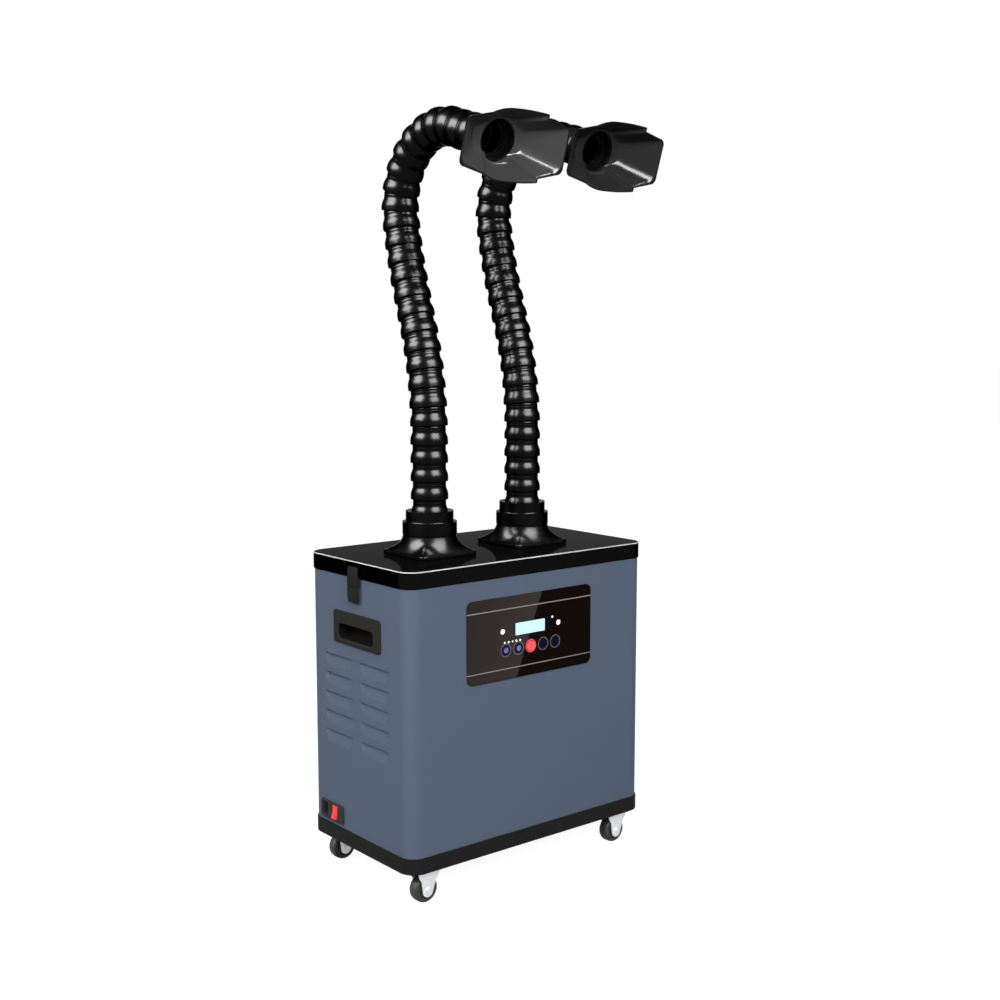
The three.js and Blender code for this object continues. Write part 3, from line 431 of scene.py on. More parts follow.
# Glowing white: the status lamps' own light, and painted light on the receiver lenses, which are no lamps.
LAMP_AND_LENS_GLOW = Finish("lamp_and_painted_lens_glow", (250, 250, 250), 0.25, glow=0.6, mottle=0.0, grain=0.0)
ZINC = Finish("zinc_plate", (205, 206, 208), 0.34, metallic=0.55, mottle=0.06, mottle_size=8, grain=0.01)
TREAD = Finish("wheel_rubber", (38, 38, 38), 0.55, specular=0.15, mottle=0.12, mottle_size=6, grain=0.04)
FOAM = Finish(
    "foam", (52, 52, 52), 0.95, specular=0.05, mottle=0.25, mottle_size=3, grain=0.5, grain_size=2.0
)
MEDIA = Finish("filter_media", (224, 224, 216), 0.9, specular=0.05, mottle=0.06, mottle_size=4, grain=0.2)
CARBON = Finish(
    "carbon_bed", (30, 30, 30), 0.8, specular=0.1, mottle=0.4, mottle_size=2.5, grain=0.6, grain_size=2.5
)
BOARD = Finish("circuit_board", (28, 90, 52), 0.45, specular=0.3, mottle=0.2, mottle_size=3, grain=0.02)
MOTOR = Finish("motor_case", (158, 160, 163), 0.35, metallic=0.9, mottle=0.05, grain=0.01)
SUPPLY = Finish("supply_case", (168, 170, 173), 0.4, metallic=0.8, mottle=0.05, grain=0.015)
FAN = Finish("fan_plastic", (24, 24, 24), 0.4, specular=0.2, grain=0.02)


# Making pieces


class Workshop:
    """Turns shapes into finished pieces that ride on their bodies."""

    sharp_angle = 30.0
    flat_angle = 1.5
    cad_weld = 0.01

    def __init__(self) -> None:
        """Reads the machine's place from the frame."""
        low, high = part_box("base_tray")
        origin = Vector(((low.x + high.x) / 2, (low.y + high.y) / 2, 0))
        self.to_row = Matrix.Translation(origin) @ Matrix.Scale(MM, 4)
        self.made = 0

    def baked(self, mesh: bpy.types.Mesh, kind: str, values: dict) -> bpy.types.Mesh:
        """Runs one modifier on a mesh.

        Args:
            mesh: The mesh to work on.
            kind: The modifier's type.
            values: The modifier's attributes.

        Returns:
            A new mesh with the modifier applied.
        """
        worker = placed("modifier_worker", mesh)
        modifier = worker.modifiers.new(kind, kind)
        for key, value in values.items():
            setattr(modifier, key, value)
        return self.evaluated(worker)

    def evaluated(self, worker: bpy.types.Object) -> bpy.types.Mesh:
        """Returns the mesh that an object's modifiers give, and removes the object."""
        graph = bpy.context.evaluated_depsgraph_get()
        result = bpy.data.meshes.new_from_object(worker.evaluated_get(graph), depsgraph=graph)
        bpy.data.objects.remove(worker)
        return result

    def bevelled(self, mesh: bpy.types.Mesh, width: float, segments: int = 2) -> bpy.types.Mesh:
        """Rounds a mesh's sharp edges and returns the new mesh."""
        angle = math.radians(self.sharp_angle)
        limit = {"limit_method": "ANGLE", "angle_limit": angle, "use_clamp_overlap": True}
        return self.baked(mesh, "BEVEL", {"width": width, "segments": segments, **limit})

    def from_cad(
        self, name: str, node: str, finish: Finish, body: str, slot: str, bevel: float, segments: int = 2
    ) -> bpy.types.Object:
        """Makes a piece from a CAD node's own shape, with its loose triangles merged and its edges rounded.

        Args:
            name: The piece's name.
            node: The CAD node, which the piece stands for.
            finish: Its finish.
            body: The CAD body that it rides on.
            slot: The record's material slot.
            bevel: The radius of the edges in millimetres.
            segments: Steps round each edge.

        Returns:
            The new object.
        """
        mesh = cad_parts[node].data.copy()
        with edited(mesh) as work:
            bmesh.ops.remove_doubles(work, verts=work.verts, dist=self.cad_weld * MM)
            limit = math.radians(self.flat_angle)
            bmesh.ops.dissolve_limit(work, angle_limit=limit, verts=work.verts, edges=work.edges)
        mesh.materials.clear()
        mesh = self.bevelled(mesh, bevel * MM, segments)
        return self.piece(name, mesh, finish, body, slot, [node], in_row_frame=True)

    def piece(
        self,
        name: str,
        source: "Shape | bpy.types.Mesh",
        finish: "Finish | Sequence[Finish]",
        body: str,
        slot: str,
        replaces: Sequence[str] = (),
        bevel: float = 0.0,
        crease: float = 35.0,
        in_row_frame: bool = False,
    ) -> bpy.types.Object:
        """Makes a finished piece, sets it on its body and logs it.

        Args:
            name: The piece's name.
            source: A shape or a mesh in millimetres in the machine's frame.
            finish: Its finish, or several, in the order of its faces' material numbers.
            body: The CAD body that it rides on.
            slot: The record's material slot; not used.
            replaces: CAD nodes that it stands for.
            bevel: The radius of its edges, where they get one.
            crease: Edges sharper than this many degrees stay sharp.
            in_row_frame: True where the mesh is in metres already.

        Returns:
            The new object.
        """
        mesh = source.mesh(name) if isinstance(source, Shape) else source
        if bevel:
            mesh = self.bevelled(mesh, bevel)
        mesh.name = name
        if not in_row_frame:
            mesh.transform(self.to_row)
        mesh.shade_smooth()
        mesh.set_sharp_from_angle(angle=math.radians(crease))
        finishes = [finish] if isinstance(finish, Finish) else list(finish)
        if mesh.materials:
            mesh.materials.clear()
        for one in finishes:
            mesh.materials.append(one.material())
        piece = placed(name, mesh)
        if replaces:
            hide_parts(*replaces)
        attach(piece, body)
        self.made += 1
        LOG.info("%s rides on %s with %d faces", name, body, len(mesh.polygons))
        return piece


class CopyTree:
    """Geometry Nodes that set copies of one shape on points or along a line."""

    def _tree(self, name: str, sockets: Sequence[tuple[str, str]]) -> tuple[Nodes, bpy.types.Node]:
        """Starts a tree with the given named inputs beside its shape and finish."""
        tree = bpy.data.node_groups.new(name, "GeometryNodeTree")
        for label, kind in (("Geometry", "Geometry"), ("Shape", "Object"), ("Finish", "Material"), *sockets):
            tree.interface.new_socket(label, in_out="INPUT", socket_type=f"NodeSocket{kind}")
        tree.interface.new_socket("Geometry", in_out="OUTPUT", socket_type="NodeSocketGeometry")
        nodes = Nodes(tree)
        return nodes, nodes.add("NodeGroupInput")

    def _finish(self, nodes: Nodes, given: bpy.types.Node, points, turn) -> bpy.types.NodeTree:
        """Ends a tree: copies on the points, made real, with their finish."""
        shape = nodes.add("GeometryNodeObjectInfo", {"Object": given.outputs["Shape"]}).outputs["Geometry"]
        places = {"Points": points, "Instance": shape, "Rotation": turn}
        copies = nodes.add("GeometryNodeInstanceOnPoints", places).outputs["Instances"]
        real = nodes.add("GeometryNodeRealizeInstances", {"Geometry": copies}).outputs["Geometry"]
        finish = {"Geometry": real, "Material": given.outputs["Finish"]}
        dressed = nodes.add("GeometryNodeSetMaterial", finish).outputs["Geometry"]
        nodes.add("NodeGroupOutput", {"Geometry": dressed})
        return nodes.tree

    def on_points(self) -> bpy.types.NodeTree:
        """Builds the tree that turns each copy by the point's own lean."""
        nodes, given = self._tree("chain_of_links", [("Lean", "String")])
        name = {"Name": given.outputs["Lean"]}
        lean = nodes.add("GeometryNodeInputNamedAttribute", name, data_type="FLOAT_VECTOR")
        turn = nodes.add("FunctionNodeEulerToRotation", {"Euler": lean.outputs["Attribute"]})
        return self._finish(nodes, given, given.outputs["Geometry"], turn.outputs["Rotation"])

    def in_row(self) -> bpy.types.NodeTree:
        """Builds the tree that sets a count of copies along a line."""
        wanted = [("Count", "Int"), ("Start", "Vector"), ("Step", "Vector")]
        nodes, given = self._tree("row_of_copies", wanted)
        sockets = (("Count", "Count"), ("Start Location", "Start"), ("Offset", "Step"))
        line = nodes.add("GeometryNodeMeshLine", {key: given.outputs[label] for key, label in sockets})
        return self._finish(nodes, given, line.outputs["Mesh"], (0.0, 0.0, 0.0))

    def run(
        self, tree: bpy.types.NodeTree, shape: Shape, finish: Finish, inputs: dict, carrier: bpy.types.Mesh
    ) -> bpy.types.Mesh:
        """Runs a tree and returns its plain mesh.

        Args:
            tree: One of this class's trees.
            shape: The shape that is copied.
            finish: What the copies are dressed in.
            inputs: The tree's other named inputs.
            carrier: The mesh that the modifier stands on.

        Returns:
            The copies as one mesh in millimetres.
        """
        pattern = placed("pattern", shape.mesh("pattern"))
        worker = placed("copy_worker", carrier)
        modifier = worker.modifiers.new("copies", "NODES")
        modifier.node_group = tree
        values = {"Shape": pattern, "Finish": finish.material(), **inputs}
        for item in tree.interface.items_tree:
            if item.in_out == "INPUT" and item.name in values:
                modifier[item.identifier] = values[item.name]
        mesh = shop().evaluated(worker)
        bpy.data.objects.remove(pattern)
        return mesh


# The machine


@dataclass
class Cabinet:
    """Steel cabinet with pressed louvres, on its tray and under its lid."""

    lid_width: float = 430.0
    lid_depth: float = 246.0
    lid_bottom: float = 431.9
    lid_top: float = 455.2
    lid_edge: float = 3.0
    lid_wall: float = 2.4
    lid_plate: float = 3.0
    lid_lip: float = 9.0
    lid_lip_wall: float = 2.0
    corner: float = 24.0
    corner_steps: int = 16
    inset: float = 1.7
    sheet: float = 1.5
    tray_bottom: float = 48.0
    tray_top: float = 69.6
    tray_wall: float = 3.0
    tray_floor: float = 3.0
    tray_edge: float = 1.2
    louvre_rows: int = 5
    louvre_top: float = 316.5
    louvre_pitch: float = 27.5
    louvre_width: float = 69.0
    louvre_height: float = 17.5
    louvre_depth: float = 4.0
    louvre_end: float = 1.9
    louvre_slant: float = 0.42
    louvre_foot: float = 0.9
    louvre_slit: float = 0.5
    louvre_centres: tuple[float, float] = (47.0, -41.0)
    hand_hole: tuple[float, ...] = (-46.0, 46.0, 340.6, 367.0)
    inlet_hole: tuple[float, ...] = (39.8, 91.8, 77.0, 99.0)
    panel_hole: tuple[float, ...] = (-107.5, 92.9, 302.5, 392.5)
    plain_line: float = 200.0
    end_lines: tuple[float, ...] = (-1.2, -0.4, 0.0, 0.4, 0.8, 1.2, 1.6, 2.1, 2.8, 4.5, 8.0, 14.0, 24.0)
    row_lines: tuple[float, ...] = (-1.2, 0.0, 0.5, 1.4, 2.4, 3.6, 5.2, 8.0, 11.0, 14.0, 16.0, 17.5, 19.0)
    front_lines: tuple[float, ...] = (-40.0, 30.0)
    back_lines: tuple[float, ...] = (60.0, -60.0)
    strike_z: float = 439.5
    strike_out: float = 0.1
    strike_size: tuple[float, ...] = (5.0, 14.0, 5.0)
    top_normal: float = 0.95
    painted_highlight_normals: Point = (0.4, 0.9)

    @property
    def side(self) -> float:
        """The cabinet's half width."""
        return self.lid_width / 2 - self.inset

    @property
    def front(self) -> float:
        """The cabinet's half depth."""
        return self.lid_depth / 2 - self.inset

    @property
    def louvre_tops(self) -> list[float]:
        """The heights of the louvres' top edges."""
        return [self.louvre_top - row * self.louvre_pitch for row in range(self.louvre_rows)]

    def _side_lines(self) -> list[float]:
        """Places along Y of the side walls' grid lines, refined at the louvres' ends and the holes."""
        flat = self.lid_depth / 2 - self.corner
        lines = {-flat, flat, *self.hand_hole[:2], *self.inlet_hole[:2], 0.0}
        for centre in self.louvre_centres:
            for end in (-1, 1):
                for step in self.end_lines:
                    lines.add(round(centre + end * (self.louvre_width / 2 - step), 3))
        return sorted(lines)

    def _height_lines(self) -> list[float]:
        """Places along Z of the grid lines, refined at the louvres and the holes."""
        lines = {self.tray_top + FIT, self.lid_bottom - FIT, self.plain_line}
        lines.update(*(hole[2:] for hole in (self.hand_hole, self.inlet_hole, self.panel_hole)))
        for top in self.louvre_tops:
            for step in self.row_lines:
                lines.add(round(top - step, 3))
        return sorted(lines)

    def _pressed(self, y: float, z: float) -> float:
        """How deep the side wall is pressed in at a place."""
        for centre in self.louvre_centres:
            for drop in (top - z for top in self.louvre_tops):
                across = abs(y - centre) - self.louvre_width / 2 + drop * self.louvre_slant
                if across < 0 < drop < self.louvre_height:
                    slope = self.louvre_depth * (1 - drop / self.louvre_height)
                    return min(slope, -across * self.louvre_end)
        return 0.0

    def _outline(self) -> list[tuple[float, float, str]]:
        """Points round the cabinet's section, each with its wall, anticlockwise from above."""
        radius = self.corner - self.inset
        x, y = self.side - radius, self.front - radius
        points = [(-self.side, place, "left") for place in reversed(self._side_lines())]
        stops = (self.panel_hole[0], *self.front_lines, self.panel_hole[1])
        front = [(place, -self.front, "front") for place in stops]
        walls = (
            ((-x, -y), 2, front),
            ((x, -y), 3, [(self.side, place, "right") for place in self._side_lines()]),
            ((x, y), 0, [(place, self.front, "back") for place in self.back_lines]),
            ((-x, y), 1, []),
        )
        for centre, start, wall in walls:
            corner = arc(centre, radius, start, self.corner_steps)
            points += [(*place, "corner") for place in corner[int(start == 2) :]]
            points += wall
        return points

    def _is_open(self, wall: str, x: float, y: float, z: float) -> bool:
        """Whether the sheet is cut away at a place, for a hole or a louvre's slit."""
        along = x if wall == "front" else y
        holes = {
            "front": [self.panel_hole],
            "left": [self.hand_hole, self.inlet_hole],
            "right": [self.hand_hole],
        }
        for start, end, bottom, top in holes.get(wall, []):
            if start < along < end and bottom < z < top:
                return True
        reach = self.louvre_width / 2 - self.louvre_foot
        in_slit = any(0 < top - z < self.louvre_slit for top in self.louvre_tops)
        return wall in ("left", "right") and in_slit and any(abs(y - c) < reach for c in self.louvre_centres)

    def shell(self) -> bpy.types.Mesh:
        """Makes the steel sheet with its louvres and holes, and gives it its thickness."""
        outline, heights = self._outline(), self._height_lines()
        points, faces, count = [], [], len(outline)
        for z in heights:
            for x, y, wall in outline:
                depth = self._pressed(y, z) if wall in ("left", "right") else 0.0
                points.append(Vector((x - math.copysign(depth, x), y, z)))
        for level, (low, high) in enumerate(zip(heights, heights[1:])):
            base, above = level * count, (level + 1) * count
            for index, (x, y, wall) in enumerate(outline):
                after = (index + 1) % count
                next_x, next_y, next_wall = outline[after]
                side = next_wall if wall == "corner" else wall
                if not self._is_open(side, (x + next_x) / 2, (y + next_y) / 2, (low + high) / 2):
                    faces.append((base + index, base + after, above + after, above + index))
        mesh = bpy.data.meshes.new("cabinet_skin")
        mesh.from_pydata(points, [], faces)
        with edited(mesh) as work:
            bmesh.ops.remove_doubles(work, verts=work.verts, dist=WELD * 10)
            bmesh.ops.delete(work, geom=[v for v in work.verts if not v.link_faces], context="VERTS")
            bmesh.ops.recalc_face_normals(work, faces=work.faces)
            if sum(face.normal.xy.dot(face.calc_center_median().xy) for face in work.faces) < 0:
                bmesh.ops.reverse_faces(work, faces=work.faces)
        return shop().baked(mesh, "SOLIDIFY", {"thickness": self.sheet, "offset": -1.0})

    def _stacked(self, levels: Profile) -> Shape:
        """Stacks (inset, height) levels of the lid's or the tray's section."""
        sizes = (self.lid_width, self.lid_depth, self.corner)
        return Shape().loft(plate_rings(*sizes, levels, self.corner_steps))

    def tray(self) -> Shape:
        """Makes the base tray, open at the top."""
        low, high, edge, wall = self.tray_bottom, self.tray_top, self.tray_edge, self.tray_wall
        outer = [(edge, low), *fillet((edge * 0.7, low), (0, low), (0, low + edge), 3)]
        outer += [(0, low + edge * 2), (0, high - edge * 1.5)]
        outer += fillet((0, high - edge / 2), (0, high), (edge / 2, high), 2)
        return self._stacked([*outer, (wall, high), (wall, low + self.tray_floor)])

    def lid(self) -> Shape:
        """Makes the lid with its rounded top edge and the lip that centres it on the cabinet."""
        low, high, edge = self.lid_bottom, self.lid_top, self.lid_edge
        lip = self.inset + self.sheet + FIT
        ceiling = high - self.lid_plate
        outer = [
            (lip + self.lid_lip_wall, ceiling),
            (lip + self.lid_lip_wall, low - self.lid_lip),
            (lip, low - self.lid_lip),
            (lip, low + self.lid_lip / 2),
            (self.lid_wall, low + self.lid_lip / 2),
            (self.lid_wall, low),
            (0.6, low),
            (0, low + 0.6),
            (0, low + 1.6),
            (0, high - edge - 1.0),
            *fillet((0, high - edge), (0, high), (edge, high), 8),
            (edge + 1.0, high),
        ]
        return self._stacked(outer)

    def build(self) -> None:
        """Makes the cabinet's skin, the tray, the lid and the lid's two strikes."""
        make = shop().piece
        make("cabinet_skin", self.shell(), PAINT, "cabinet", "cabinet", ["cabinet_shell"], crease=28)
        make("tray_shell", self.tray(), TRAY_PLASTIC, "cabinet", "tray", ["base_tray"])
        lid = self.lid().mesh("lid")
        # Top faces take the top lacquer; the fillet faces of the top edge take the painted highlight.
        low, high = self.painted_highlight_normals
        for face in lid.polygons:
            if face.center.z > self.lid_top - self.lid_edge:
                up = face.normal.z
                face.material_index = 1 if up > self.top_normal else int(low < up < high) * 2
        make("lid_shell", lid, [LID_SKIRT, LID_TOP, LID_EDGE_HIGHLIGHT], "lid", "lid", ["lid"], crease=50)
        for label, side in SIDES:
            out = self.lid_width / 2 + self.strike_out
            strike = block(self.strike_size, (side * out, 0, self.strike_z))
            make(f"lid_strike_{label}", strike, LATCH_PLASTIC, "lid", "latch", bevel=0.6)


@dataclass
class ControlPanel:
    """Front panel: glass, display, lamps and five ringed push buttons."""

    x: float = -7.3
    z: float = 347.5
    width: float = 224.4
    height: float = 115.0
    corner: float = 9.0
    back: float = -121.6
    sheet: float = 2.0
    edge: float = 0.5
    display: tuple[float, float, float, float] = (-9.3, 357.7, 52.8, 16.8)
    button_x: float = -8.1
    button_z: float = 330.9
    button_pitch: float = 22.4
    button_radius: float = 7.3
    ring_outer: float = 9.4
    ring_inner: float = 8.1
    centre_radius: float = 4.2
    button_proud: float = 1.2
    button_dish: float = 0.55
    ring_rise: float = 0.25
    buttons: tuple[str, ...] = ("down", "mode", "power", "timer", "up")
    lamp_start: tuple[float, float] = (-54.9, 341.6)
    lamp_pitch: float = 6.88
    lamp_radius: float = 1.4
    lamp_rise: float = 0.4
    lamp_count: int = 5
    dot_rise: float = 0.5
    dots: tuple[tuple[float, ...], ...] = ((-58.6, 357.4, 3.6), (42.7, 357.0, 3.6), (31.4, 366.5, 1.5))

    def _upright(self, x: float, z: float, y: float) -> Matrix:
        """The matrix that stands a shape made in X and Y against the front, its +Z out along -Y."""
        return Matrix.Translation((x, y, z)) @ Matrix.Rotation(QUARTER, 4, "X")

    def glass(self) -> Shape:
        """Makes the panel's glass plate with its polished edge."""
        levels = [(0.0, 0.0), (0.0, self.sheet - self.edge)]
        levels += fillet((0.0, self.sheet - self.edge), (0.0, self.sheet), (self.edge, self.sheet), 3)[1:]
        rings = plate_rings(self.width, self.height, self.corner, levels, 10)
        return Shape().loft(rings).moved(self._upright(self.x, self.z, self.back))

    def lens(self, radius: float, rise: float) -> Shape:
        """Makes a small domed lens on the glass."""
        arc = [(radius * math.cos(a), rise * math.sin(a)) for a in np.linspace(0, QUARTER, 5)]
        return turned([(0.0, -rise), (radius, -rise), *arc[:-1], (0.0, rise)], 20)

    def ring(self, inner: float, outer: float, rise: float) -> Shape:
        """Makes a flat ring with a slightly rounded face."""
        lip = rise / 2
        top = [(outer, rise - lip), (outer - lip, rise), (inner + lip, rise), (inner, rise - lip)]
        return turned([(inner, -rise), (outer, -rise), *top], 40)

    def cap(self) -> Shape:
        """Makes a push button with a dished top."""
        radius, top = self.button_radius, self.sheet + self.button_proud
        side = [(0.0, 0.0), (radius, 0.0), (radius, top - 0.5)]
        side += [(radius - 0.25, top - 0.12), (radius - 0.7, top)]
        dish = [(radius * share, top - self.button_dish * (1 - share**2)) for share in (0.8, 0.55, 0.3)]
        return turned([*side, *dish, (0.0, top - 0.6)], 36)

    def build(self) -> None:
        """Makes the panel's pieces."""
        make, face = shop().piece, self.back - self.sheet
        make("fascia_plate", self.glass(), GLASS, "cabinet", "panel", ["control_panel"], crease=60)
        x, z, width, height = self.display
        window = Shape().loft(plate_rings(width, height, 0.6, [(0, -0.2), (0, 0.18), (0.15, 0.3)], 3))
        window = window.moved(self._upright(x, z, face))
        make("display_glass", window, DISPLAY, "cabinet", "display", ["display_window"])
        for index, name in enumerate(self.buttons):
            place = self.button_x + (index - 2) * self.button_pitch
            lit = name == "power"
            centre = BUTTON_RED if lit else BUTTON_BLUE if index < 2 else BUTTON_DIM
            finishes = [BUTTON_LIT if lit else BUTTON_FACE, centre]
            cap = self.cap().mesh(name)
            for part in cap.polygons:
                part.material_index = int(part.normal.z > 0.5 and part.center.xy.length < self.centre_radius)
            cap.transform(self._upright(place, self.button_z, self.back))
            slot = "button_red" if lit else "button_blue"
            make(f"button_cap_{name}", cap, finishes, f"button_{name}", slot, [f"button_{name}"])
            ring = self.ring(self.ring_inner, self.ring_outer, self.ring_rise)
            ring = ring.moved(self._upright(place, self.button_z, face))
            make(f"button_ring_{name}", ring, RING_PINK if lit else RING_GREY, "cabinet", "panel")
        lamp = self.lens(self.lamp_radius, self.lamp_rise).moved(Matrix.Rotation(QUARTER, 4, "X"))
        start = (self.lamp_start[0], face, self.lamp_start[1])
        row = {"Count": self.lamp_count, "Start": start, "Step": (self.lamp_pitch, 0.0, 0.05)}
        copies = CopyTree()
        lamps = copies.run(copies.in_row(), lamp, LAMP_AND_LENS_GLOW, row, bpy.data.meshes.new("row"))
        make("status_lamps", lamps, LAMP_AND_LENS_GLOW, "cabinet", "panel")
        # The receiver lenses take the glowing lamp white: painted light, as they are no lamps.
        for index, (dot_x, dot_z, radius) in enumerate(self.dots):
            dot = self.lens(radius, self.dot_rise).moved(self._upright(dot_x, dot_z, face))
            make(f"receiver_lens_{index + 1}", dot, LAMP_AND_LENS_GLOW, "cabinet", "panel")


@dataclass
class SideFittings:
    """Hand-holes and latches on both sides, and the mains inlet on the left."""

    wall: float = -213.6
    handle_y: float = -1.7
    handle_z: float = 359.3
    handle_width: float = 112.2
    handle_height: float = 45.7
    handle_corner: float = 5.0
    handle_plate: float = 2.5
    pocket_z: float = 353.8
    pocket_width: float = 84.0
    pocket_height: float = 21.0
    pocket_corner: float = 7.0
    pocket_depth: float = 18.0
    pocket_wall: float = 2.0
    latch_width: float = 21.4
    latch_top: float = 448.0
    latch_split: float = 420.5
    latch_bottom: float = 398.5
    latch_proud: float = 8.0
    latch_plate: float = 2.0
    latch_foot: float = -213.3
    lid_side: float = -215.3
    strike_rise: float = 2.6

    def _against_wall(self, y: float, z: float) -> Matrix:
        """Stands a shape made in X and Y against the left wall, its +Z out along -X."""
        turn = Matrix(((0, 0, -1, 0), (-1, 0, 0, 0), (0, 1, 0, 0), (0, 0, 0, 1)))
        return Matrix.Translation((self.wall, y, z)) @ turn

    def dish(self) -> bpy.types.Mesh:
        """Makes the hand-hole's mesh: plate and rolled rim, and the hollow behind them painted darker as
        painted shade.
        """
        out, wall, depth = self.handle_plate, self.pocket_wall, self.pocket_depth
        width, height, corner = self.pocket_width, self.pocket_height, self.pocket_corner
        offset = Vector((self.handle_y, self.pocket_z - self.handle_z, 0))
        plate = [(0.0, 0.0), *fillet((0.0, out - 1.0), (0.0, out), (1.0, out), 4)]
        rings = plate_rings(self.handle_width, self.handle_height, self.handle_corner, plate, 8)
        inside = [(-1.6, out), *fillet((-1.2, out), (0.0, out), (0.0, out - 1.2), 5)]
        inside += [(0.0, out - 4.0), (0.3, -8.0), (1.0, 4.0 - depth)]
        inside += fillet((1.2, 3.0 - depth), (1.6, -depth), (4.6, -depth), 4)
        back = [(0.0, 0.0), (0.0, -depth), (2.0, -depth - wall)]
        pocket, behind = (
            [[point + offset for point in ring] for ring in plate_rings(*sizes, 8)]
            for sizes in (
                (width, height, corner, inside),
                (width + wall * 2, height + wall * 2, corner + wall, back),
            )
        )
        dish, shell = Shape().loft([*rings, *pocket]), Shape().loft([rings[0], *behind])
        for shape in (dish, shell):
            shape.faces.pop(-2)
        mesh = dish.join(shell).mesh("dish")
        # Faces behind the wall, deep in the hollow, take the painted shade.
        for face in mesh.polygons:
            face.material_index = int(face.center.z < 0.0)
        mesh.transform(self._against_wall(self.handle_y, self.handle_z))
        return mesh

    def hook(self) -> Shape:
        """Makes the latch's hook, curved in from its foot to a thin tip."""
        outer, foot, tip = self.latch_foot - self.latch_proud, self.latch_split, self.latch_top
        beside, inner = self.lid_side, self.lid_side - self.strike_rise
        curve = fillet((outer, foot + 12), (outer, tip - 6), (inner - 1.2, tip), 8)
        outline = [(inner, tip), *reversed(curve), (outer, foot + 0.2), (self.wall, foot + 0.2)]
        outline += [(self.wall, foot + 9), (beside, foot + 9), (beside, foot + 15), (inner, foot + 15)]
        return drawn(outline, self.latch_width)

    def lever(self) -> Shape:
        """Makes the latch's lever, tapering to its toe."""
        inner, outer = self.wall - self.latch_plate - FIT, self.latch_foot - self.latch_proud
        low, high = self.latch_bottom, self.latch_split - FIT
        toe = fillet((outer, low + 8), (outer + 0.4, low + 1.5), ((inner + outer) / 2, low), 5)
        return drawn([(inner, low), (inner, high), (outer, high), *toe], self.latch_width)

    def build(self) -> None:
        """Makes the fittings, the right side's as the left side's turned half round."""
        make = shop().piece
        for label, side in SIDES:
            turn = Matrix.Rotation(0.0 if side < 0 else math.pi, 4, "Z")
            dish = self.dish()
            dish.transform(turn)
            finishes = [HANDLE_PLASTIC, HANDLE_HOLLOW_SHADE]
            make(f"hand_hole_{label}", dish, finishes, "cabinet", "handle", [f"handle_{label}"], crease=40)
            for part, body in (("hook", f"latch_hook_{label}"), ("lever", f"latch_lever_{label}")):
                shape = (self.hook() if part == "hook" else self.lever()).moved(turn)
                make(f"latch_{part}_body_{label}", shape, LATCH_PLASTIC, body, "latch", [body], bevel=0.8)
            base, node = f"latch_base_plate_{label}", f"latch_base_{label}"
            shop().from_cad(base, node, LATCH_PLASTIC, "cabinet", "latch", 0.4)
        shop().from_cad("inlet_housing", "mains_inlet", INLET_PLASTIC, "cabinet", "inlet", 0.35)
        shop().from_cad("rocker_cap", "rocker_switch", ROCKER_RED, "rocker", "rocker", 0.5, 3)


